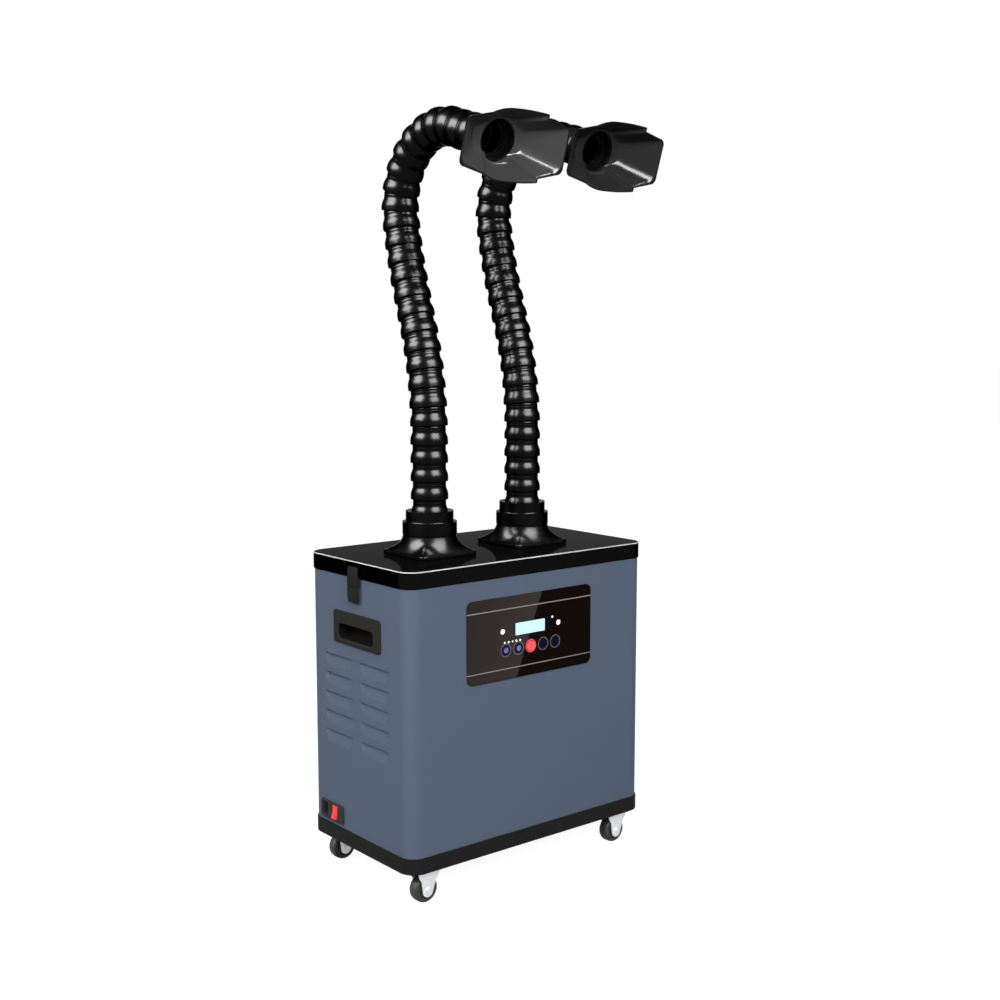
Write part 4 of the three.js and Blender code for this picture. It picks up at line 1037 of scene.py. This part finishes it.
@dataclass
class Gooseneck:
    """One arm: the collar flange, 27 domed links and the hood on its ball ring."""

    label: str
    x: float
    turn: float
    hood_finish: Finish
    y: float = -15.0
    pitch: float = 25.26
    first: float = 507.37
    link_sides: int = 56
    bends: tuple[tuple[int, float], ...] = ((5, 0), (6, 3.05), (2, 0), (4, -2.3), (8, -14.46), (2, 0.9))
    runs: tuple[tuple[str, int], ...] = (("lower", 5), ("middle", 7), ("upper", 4), ("loop", 11))
    flange_bottom: float = 455.5
    flange_side: float = 95.4
    flange_sides: int = 96
    flange_plate: float = 6.0
    bell_height: float = 22.4
    bell_flare: float = 3.2
    bell_ease: float = 1.6
    bell_taper: float = 1.15
    bell_steps: int = 18
    bell_step_in: float = 0.9
    bell_inset: float = 2.6
    bell_corner: float = 4.0
    lower_ring: tuple[float, float] = (38.0, 18.2)
    upper_ring: tuple[float, float] = (33.3, 15.0)
    bore: float = 19.5
    seat: float = 25.8
    hood_tilt: float = 17.2
    mouth_half: tuple[float, float] = (83.0, 31.0)
    back_half: tuple[float, float] = (40.5, 17.0)
    corners: tuple[float, float] = (9.0, 8.0)
    depth: float = 40.0
    wall: float = 2.0
    lobe_half: tuple[float, float] = (45.0, 20.5)
    notch: tuple[float, float] = (37.8, 24.3)
    floor_notch: tuple[float, float] = (37.8, 18.6)
    floor_corner: float = 8.0
    floor_soft: float = 0.15
    tip: tuple[float, float] = (43.2, 28.6)
    lobe_crown: float = 2.4
    ramp_share: float = 0.3
    crown_steps: int = 32
    run_steps: int = 8
    corner_steps: int = 9
    step_soft: float = 1.2
    throat: float = 26.6
    throat_bore: float = 24.2
    throat_lip: float = 2.0
    throat_step: float = 10.0
    throat_tail: float = 28.0

    def _joints(self) -> list[tuple[float, float, float]]:
        """Each joint's place in the arm's plane and the heading after it: (y, z, heading)."""
        y, z, heading, joints = 0.0, self.first, 0.0, []
        for count, turn in self.bends:
            for _ in range(count):
                heading += math.radians(turn) if joints else 0.0
                joints.append((y, z, heading))
                y += math.sin(heading) * self.pitch
                z += math.cos(heading) * self.pitch
        return [*joints, (y, z, heading)]

    def _place(self) -> Matrix:
        """The arm's place on the machine."""
        return Matrix.Translation((self.x, self.y, 0)) @ Matrix.Rotation(math.radians(self.turn), 4, "Z")

    def link(self) -> Shape:
        """Makes one link: a beaded lip, a dome that narrows upwards and the ball inside the next lip."""
        top = self.pitch
        dome = (26.13, 26.0, 25.83, 25.6, 25.32, 25.0, 24.62, 24.2, 23.8, 23.45, 23.22, 23.1)
        outer = [(24.6, 0.0), (25.4, 0.0), (25.9, 0.35), (26.15, 0.9), (26.2, 2.0), (26.2, 4.0), (26.2, 6.0)]
        outer += [(radius, 7.0 + step) for step, radius in enumerate(dome)]
        outer += [(23.1, 20.2), (23.22, 20.6), (23.1, 21.0), (23.1, 23.9), (23.25, 24.3), (23.05, 24.7)]
        outer += [(22.9, top), (22.6, top + 3.8), (22.0, top + 6.4), (21.2, top + 8.2)]
        inner = [(19.5, top + 8.6), (19.5, 16.0), (20.6, 12.4), (22.6, 10.0), (23.8, 6.5), (24.1, 2.0)]
        return turned([*outer, *inner], self.link_sides)

    def _chain(self, first: int, last: int) -> bpy.types.Mesh:
        """Sets links first to last - 1 on their joints and returns them as one mesh."""
        joints = self._joints()[first:last]
        carrier = bpy.data.meshes.new("joints")
        carrier.from_pydata([(0.0, y, z) for y, z, _ in joints], [], [])
        lean = carrier.attributes.new("lean", "FLOAT_VECTOR", "POINT")
        lean.data.foreach_set("vector", [value for joint in joints for value in (-joint[2], 0.0, 0.0)])
        copies = CopyTree()
        mesh = copies.run(copies.on_points(), self.link(), LINK_PLASTIC, {"Lean": "lean"}, carrier)
        mesh.transform(self._place())
        return mesh

    def flange(self) -> Shape:
        """Makes the collar: a square plate that sweeps up into a bell with two stepped rings."""
        bottom, plate = self.flange_bottom, self.flange_bottom + self.flange_plate
        bell, half, top = plate + self.bell_height, self.flange_side / 2, self.first - FIT
        low, high = self.lower_ring[0], self.upper_ring[0]
        lower = bell + self.lower_ring[1]
        upper = lower + self.upper_ring[1]
        angles = [(side + 0.5) * FULL / self.flange_sides for side in range(self.flange_sides)]

        def square(reach: float, z: float, corner: float = 5.0) -> Ring:
            """A square with rounded corners, whose points stand at the circles' angles."""
            points, inner = [], reach - corner
            for angle in angles:
                cosine, sine = abs(math.cos(angle)), abs(math.sin(angle))
                far = reach / max(cosine, sine)
                if min(cosine, sine) * far > inner:
                    along = inner * (cosine + sine)
                    far = along + math.sqrt(max(along**2 - 2 * inner**2 + corner**2, 0.0))
                points += circle(far, z, [angle])
            return points

        def rim(radius: float, z: float) -> Profile:
            """The rounded top edge of a ring."""
            return [(radius, z - 1.2), (radius, z - 0.15), (radius - 0.15, z), (radius - 1.2, z)]

        edge = ((0.6, bottom), (0.0, bottom + 0.6), (0.0, plate - 1.0), (0.3, plate - 0.3), (1.0, plate))
        rings = [square(half - inset, z) for inset, z in edge]
        rings.append(square(half - 2.2, plate, self.bell_corner))
        flat, neck = half - self.bell_inset, low - self.bell_step_in
        foot = square(flat, 0.0, self.bell_corner)
        for step in range(1, self.bell_steps + 1):
            rise = (step / self.bell_steps) ** self.bell_ease
            level = Vector((0, 0, plate + self.bell_height * rise))
            reach = neck + (flat - neck) * (1 - rise) ** self.bell_taper
            flare = (1 - rise) ** self.bell_flare
            rings.append([p.normalized() * (reach + (p.length - flat) * flare) + level for p in foot])
        profile = [(neck, bell + 0.2), (low - 0.2, bell + 0.3), (low, bell + 0.8), (low, bell + 2.0)]
        profile += [*rim(low, lower), (high + 0.3, lower), (high, lower + 0.4), (high, lower + 1.6)]
        profile += [*rim(high, upper), (self.seat + 0.6, upper), (self.seat, upper - 0.6)]
        profile += [(self.seat, top), (self.bore, top), (self.bore, bottom)]
        rings += [circle(radius, z, angles) for radius, z in profile]
        return Shape().loft(rings, closed=True).moved(Matrix.Translation((self.x, self.y, 0)))

    def _half(self, share: float, inset: float, floor: bool) -> Profile:
        """Half of a section's outline: right wing, lobe with its stepped end, and left wing.

        Args:
            share: How far back the section is, from 0 at the mouth to 1 at the back.
            inset: How far inside the outer skin the outline runs.
            floor: True for the half that hangs down, which is flatter at the back and rounder inside.

        Returns:
            Points from the middle of the right wall to the middle of the left wall.
        """
        width, height = (between(ends, share) - inset for ends in zip(self.mouth_half, self.back_half))
        corner = max(between(self.corners, share) - inset, 1.5)
        soft, cut = self.step_soft, self.floor_notch if floor else self.notch
        if floor and inset >= self.wall:
            corner, soft = corner + self.floor_corner, self.floor_soft
        lobe, notch, tip = (between(ends, share) - inset for ends in (self.lobe_half, cut, self.tip))
        wall, run = height - corner, width - corner - lobe
        slope = (notch - height) / run
        points = [(width, wall * step / 4) for step in range(4)]
        points += arc((width - corner, wall), corner, 0, self.corner_steps)
        for step in range(1, self.run_steps):
            along = (run - soft) * step / self.run_steps
            points.append((width - corner - along, height + slope * along))
        points += fillet((lobe + soft, notch - slope * soft), (lobe, notch), (lobe, notch + soft), 4)
        points += fillet((lobe, tip - soft), (lobe, tip), (lobe - soft, tip), 4)
        for step in range(1, self.crown_steps + 1):
            across = 1 - step * 2 / self.crown_steps
            ramp = max(0.0, -across - self.ramp_share) / (1 - self.ramp_share)
            rise = tip + self.lobe_crown * (1 - across**2) - (tip - notch) * ramp**2
            points.append(((lobe - soft) * (across + 1) / 2 - lobe * (1 - across) / 2, rise))
        for step in range(1, self.run_steps):
            along = run * step / self.run_steps
            points.append((-lobe - along, notch - slope * along))
        points += arc((corner - width, wall), corner, 1, self.corner_steps)
        return [*points, *[(-width, wall * (3 - step) / 4) for step in range(3)]]

    def _section(self, share: float, inset: float, z: float) -> Ring:
        """A whole section of the hood: the floor along +Y, which hangs down, and the roof along -Y."""
        floor, roof = (self._half(share, inset, floor) for floor in (True, False))
        roof = [(x, -y) for x, y in reversed(roof[1:])]
        return [Vector((x, y, z)) for x, y in (*floor, (-floor[0][0], 0.0), *roof)]

    def hood(self) -> bpy.types.Mesh:
        """Makes the hood's mesh on its arm, from the mouth to the back, with a dark rim."""
        depth, wall, throat = self.depth, self.wall, self.throat + FIT

        def rings_of(levels: Profile) -> list[Ring]:
            """The sections at (height, inset) levels."""
            return [self._section(z / depth, inset, z) for z, inset in levels]

        rings = rings_of([(0.0, 0.5), (0.15, 0.15), (0.5, 0.0)])
        rings += rings_of([(depth * share, 0.0) for share in np.linspace(0.08, 0.95, 9)])
        rings += rings_of([(depth - 0.7, 0.15), (depth - 0.2, 0.5), (depth, 1.1)])
        angles = [math.atan2(point.y, point.x) for point in self._section(1.0, 0.0, depth)]
        for radius, z in ((throat + 0.3, depth), (throat, depth - 0.3), (throat, depth - wall)):
            rings.append(circle(radius, z, angles))
        rings += rings_of([(depth - wall, wall + 1.6), (depth - wall - 0.5, wall + 0.5)])
        rings += rings_of([(depth * share, wall) for share in np.linspace(0.9, 0.08, 9)])
        rings += rings_of([(0.5, wall), (0.15, wall - 0.15), (0.0, wall - 0.5)])
        mesh = Shape().loft(rings, closed=True).mesh("hood")
        for face in mesh.polygons:
            face.material_index = int(face.center.z < 0.6)
        mesh.transform(self._at_hood())
        return mesh

    def ball_ring(self) -> Shape:
        """Makes the gloss ring in the hood's throat, with the socket behind it."""
        depth, wall, bore, side = self.depth, self.wall, self.throat_bore, self.throat
        front, tail, collar = depth - self.throat_lip, depth + self.throat_tail, depth + FIT
        step, lip = depth + self.throat_step, (25.4, front)
        outline = [(bore, front + 1.2), *fillet((bore, front + 1.0), (24.9, front), lip, 3)]
        outline += [*fillet(lip, (side, front), (side, front + 1.0), 3), (side, collar), (28.0, collar)]
        outline += [(28.6, collar + 0.4), (28.6, collar + wall - 0.4), (28.0, collar + wall)]
        outline += [(26.4, collar + wall), (26.2, collar + wall + 0.4), (26.2, tail - 0.6), (25.7, tail)]
        outline += [(24.1, tail), (23.6, tail - 4.8), (21.9, tail - 9.6), (self.bore, tail - 13.8)]
        outline += [(self.bore, step + 0.6), (20.1, step), (bore - 0.6, step), (bore, step - 0.6)]
        return turned(outline, 72)

    def _at_hood(self) -> Matrix:
        """The hood's place at the end of the arm."""
        y, z, _ = self._joints()[-1]
        lean = math.radians(self.hood_tilt)
        far = self.depth + self.throat_tail
        place = Matrix.Translation((0, y - math.cos(lean) * far, z - math.sin(lean) * far))
        return self._place() @ place @ Matrix.Rotation(lean - QUARTER, 4, "X")

    def build(self) -> None:
        """Makes the arm's pieces."""
        make, label = shop().piece, self.label
        collar, node = self.flange(), f"flange_{label}"
        make(f"collar_{label}", collar, FLANGE_PLASTIC, "lid", "flange", [node], crease=40)
        first = 0
        for name, count in self.runs:
            body = f"arm_{label}_{name}"
            links = self._chain(first, first + count)
            make(f"links_{label}_{name}", links, LINK_PLASTIC, body, "arm", [body], crease=50)
            first += count
        body = f"suction_hood_{label}"
        ring = self.ball_ring().moved(self._at_hood())
        make(f"ball_ring_{label}", ring, THROAT, body, "throat", [f"throat_ring_{label}"])
        finishes = [self.hood_finish, HOOD_RIM]
        make(f"hood_shell_{label}", self.hood(), finishes, body, "hood", [f"hood_{label}"], crease=48)


@dataclass
class Caster:
    """One swivel caster: plate, pressed fork, treaded wheel and axle."""

    label: str
    x: float
    y: float
    wheel_radius: float = 19.0
    wheel_width: float = 16.0
    hub_radius: float = 12.5
    bore: float = 3.2
    trail: float = 2.5
    fork_half: float = 17.0
    fork_sheet: float = 2.0
    fork_gap: float = 1.4
    crown: float = 45.2
    tip: float = 8.6
    tip_lean: float = 0.35
    tip_stretch: float = 1.05
    axle: float = 2.9

    @property
    def leg(self) -> float:
        """How far the inner face of a fork leg stands from the wheel's middle."""
        return self.wheel_width / 2 + self.fork_gap

    def _place(self) -> Matrix:
        """The caster's place under the base."""
        return Matrix.Translation((self.x, self.y, 0))

    def _wheel_place(self) -> Matrix:
        """Stands a shape turned round Z on the wheel's axle."""
        axle = Matrix.Translation((-self.trail, 0, self.wheel_radius))
        return self._place() @ axle @ Matrix.Rotation(QUARTER, 4, "X")

    def wheel(self) -> Shape:
        """Makes the tyre with rounded shoulders on a dished hub."""
        half, rim, hub = self.wheel_width / 2, self.wheel_radius, self.hub_radius
        side = [(self.bore, 0.2 - half), (6.0, 0.2 - half), (6.6, 1.0 - half), (hub - 0.8, 2.2 - half)]
        side += [(hub, 1.4 - half), (hub + 0.6, 0.3 - half)]
        side += fillet((hub + 1.4, -half), (rim - 0.4, -half), (rim - 0.2, 3.6 - half), 5)
        return turned(mirrored([*side, (rim, 5.0 - half)]), 64)

    def fork(self) -> Shape:
        """Makes the pressed fork: a crown plate with two legs that sweep in to round tips."""
        half, crown, hub = self.fork_half, self.crown, self.wheel_radius
        outline = [(half, crown)]
        outline += fillet((half, crown - 4.0), (half - 2.0, crown - 9.5), (half - 5.5, crown - 12.5), 5)
        outline += fillet((half - 6.4, crown - 15), (7.6, hub + 2), (5.6, hub - 4), 6)
        for step in range(1, 8):
            angle = -self.tip_lean - step / 8 * (math.pi - self.tip_lean * 2)
            rise = self.tip * math.sin(angle) * self.tip_stretch
            outline.append((-self.trail + self.tip * math.cos(angle), hub - 1.2 + rise))
        outline += fillet((-10.6, hub - 4), (-11.6, hub + 2), (-12.6, crown - 14.5), 6)
        outline += fillet((-13.2, crown - 12.5), (-16.6, crown - 9.5), (-half, crown - 4.0), 5)
        fork, leg = Shape(), drawn([*outline, (-half, crown)], self.fork_sheet)
        for side in (-1, 1):
            fork.join(leg.moved(Matrix.Translation((0, side * (self.leg + self.fork_sheet / 2), 0))))
        return fork

    def crown_plate(self) -> Shape:
        """Makes the fork's crown with the swivel's race on it."""
        crown, sheet = self.crown, self.fork_sheet
        top = block((self.fork_half * 2, (self.leg + sheet) * 2, sheet), (0, 0, crown - sheet / 2))
        race = turned([(0, crown - 0.2), (12.0, crown - 0.2), (12.6, crown + 0.1), (0, crown + 0.1)], 40)
        return top.join(race)

    def pin(self) -> Shape:
        """Makes the axle with its riveted heads."""
        half = self.leg + self.fork_sheet
        end = half + 1.2
        head = [(0, -end), (2.6, -end), (3.6, -end + 0.5), (3.9, -half), (self.axle, -half)]
        return turned(mirrored(head), 28)

    def build(self) -> None:
        """Makes the caster's pieces."""
        make, label, place, hub = shop().piece, self.label, self._place(), self._wheel_place()
        body = f"caster_{label}"
        shop().from_cad(f"caster_top_{label}", f"caster_plate_{label}", ZINC, "cabinet", "zinc", 0.4)
        legs, wheel = self.fork().moved(place), self.wheel().moved(hub)
        make(f"fork_legs_{label}", legs, ZINC, body, "zinc", [f"caster_fork_{label}"], bevel=0.5)
        make(f"fork_crown_{label}", self.crown_plate().moved(place), ZINC, body, "zinc")
        make(f"axle_{label}", self.pin().moved(hub), ZINC, body, "zinc", [f"caster_axle_{label}"])
        make(f"wheel_{label}", wheel, TREAD, f"wheel_{label}", "tread", [f"caster_wheel_{label}"])


class Inside:
    """What the cabinet holds: the CAD pieces keep their shapes and get their finishes."""

    finishes = {
        "lid_gasket": FOAM,
        "pre_filter": MEDIA,
        "hepa_filter": MEDIA,
        "carbon_filter": CARBON,
        "filter_shelf": ZINC,
        "impeller": FAN,
        "fan_motor": MOTOR,
        "motor_strap": ZINC,
        "power_supply": SUPPLY,
        "control_board": BOARD,
    }

    def build(self) -> None:
        """Gives every CAD node that still shows its finish."""
        for node, finish in self.finishes.items():
            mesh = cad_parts[node].data
            mesh.materials.clear()
            mesh.materials.append(finish.material())
            LOG.info("%s is finished as %s", node, finish.name)


# The studio


class Sees(Enum):
    """Which rays a lamp is there for."""

    DIFFUSE = "diffuse"
    GLOSS = "gloss"


@dataclass(frozen=True)
class Softbox:
    """A rectangular lamp that faces the object."""

    name: str
    bearing: float
    distance: float
    height: float
    width: float
    tall: float
    radiance: float
    sees: Sees
    aim: float = 0.6

    def build(self) -> None:
        """Sets the lamp at its bearing from the camera's side, turned to the object."""
        lamp = bpy.data.lights.new(self.name, "AREA")
        lamp.shape = "RECTANGLE"
        lamp.size, lamp.size_y = self.width, self.tall
        lamp.energy = self.radiance * math.pi * self.width * self.tall
        holder = placed(self.name, lamp)
        toward = math.radians(270.0 - CAMERA_YAW - self.bearing)
        place = Vector((math.cos(toward) * self.distance, math.sin(toward) * self.distance, self.height))
        holder.location = place
        holder.rotation_euler = (Vector((0, 0, self.aim)) - place).to_track_quat("-Z", "Y").to_euler()
        holder.visible_camera = False
        holder.visible_glossy = self.sees is Sees.GLOSS
        holder.visible_diffuse = self.sees is Sees.DIFFUSE
        holder.visible_transmission = False


@dataclass
class Studio:
    """Camera, world, floor and lamps."""

    eye: tuple[float, float, float] = (-1.2176, -1.48205, 0.7618)
    pitch: float = -7.0
    focal: float = 49.2
    ambient: float = 0.25
    floor_radius: float = 30.0
    floor_grey: float = 0.25
    floor_lift: float = 0.94

    def camera(self) -> None:
        """Sets the camera at the photograph's place."""
        data = bpy.data.cameras.new("camera")
        data.sensor_width = 36.0
        data.lens = self.focal
        holder = placed("camera", data)
        holder.location = self.eye
        holder.rotation_euler = (math.radians(90 + self.pitch), 0, math.radians(-CAMERA_YAW))
        bpy.context.scene.camera = holder

    def _seen(self, nodes: Nodes) -> bpy.types.NodeSocket:
        """One for rays that show the background: camera, glossy and transmission."""
        path = nodes.add("ShaderNodeLightPath").outputs
        either = nodes.math("MAXIMUM", path["Is Camera Ray"], path["Is Glossy Ray"])
        return nodes.math("MAXIMUM", either, path["Is Transmission Ray"])

    def world(self) -> None:
        """Lights the scene evenly and shows a white background."""
        world = bpy.data.worlds.new("studio_air")
        nodes = emptied(world)
        air, white = (
            nodes.add("ShaderNodeBackground", {"Color": (1, 1, 1, 1), "Strength": strength}).outputs[0]
            for strength in (self.ambient, 1.0)
        )
        mixed = nodes.add("ShaderNodeMixShader", {0: self._seen(nodes), 1: air, 2: white})
        nodes.add("ShaderNodeOutputWorld", {"Surface": mixed.outputs[0]})
        bpy.context.scene.world = world

    def floor(self) -> None:
        """Lays the pale floor, which keeps the object's shadow and meets the background in white."""
        radius = self.floor_radius / MM
        mesh = turned([(0, -0.5), (radius, -0.5), (radius, -0.1), (0, -0.1)], 64).mesh("studio_floor")
        mesh.transform(Matrix.Scale(MM, 4))
        material = bpy.data.materials.new("floor_pale")
        nodes = emptied(material)
        matt = nodes.add("ShaderNodeBsdfDiffuse", {"Color": (*(self.floor_grey,) * 3, 1)})
        lift = nodes.math("MULTIPLY", self._seen(nodes), self.floor_lift)
        glow = nodes.add("ShaderNodeEmission", {"Color": (1, 1, 1, 1), "Strength": lift})
        both = nodes.add("ShaderNodeAddShader", {0: matt.outputs[0], 1: glow.outputs[0]})
        nodes.add("ShaderNodeOutputMaterial", {"Surface": both.outputs[0]})
        mesh.materials.append(material)
        placed("studio_floor", mesh)

    def build(self) -> None:
        """Sets up the whole studio."""
        scene = bpy.context.scene
        scene.view_settings.view_transform = "Standard"
        self.camera()
        self.world()
        self.floor()
        for box in (
            Softbox("box_left", 65.0, 2.1, 2.1, 2.1, 1.4, 130.0, Sees.GLOSS),
            Softbox("box_right", -46.0, 2.1, 2.1, 2.0, 1.4, 105.0, Sees.GLOSS),
            Softbox("box_behind", 180.0, 0.8, 2.7, 1.8, 1.4, 120.0, Sees.GLOSS),
            Softbox("fill_left", 68.0, 2.6, 1.9, 1.8, 1.3, 7.3, Sees.DIFFUSE),
            Softbox("fill_right", -15.0, 2.6, 1.9, 1.8, 1.3, 12.8, Sees.DIFFUSE),
            Softbox("fill_top", 0.0, 0.3, 2.6, 1.6, 1.6, 0.5, Sees.DIFFUSE),
        ):
            box.build()


@lru_cache(maxsize=1)
def shop() -> Workshop:
    """Returns the one workshop, made on the first call."""
    return Workshop()


def main() -> None:
    """Builds the studio and the machine, sub-assembly by sub-assembly."""
    logging.basicConfig(level=logging.INFO, format="%(name)s: %(message)s")
    Studio().build()
    Cabinet().build()
    ControlPanel().build()
    SideFittings().build()
    # The left hood takes the painted lit copy of the hood plastic, the right hood the painted shaded copy.
    Gooseneck("left", -100.5, -0.9, HOOD_PAINTED_LIT).build()
    Gooseneck("right", 67.5, 0.5, HOOD_PAINTED_SHADE).build()
    x, y = CASTER_PLACE
    for end, depth in ENDS:
        for label, side in SIDES:
            Caster(f"{end}_{label}", side * x, depth * y).build()
    Inside().build()
    LOG.info("made %d pieces", shop().made)


if __name__ == "__main__":
    main()
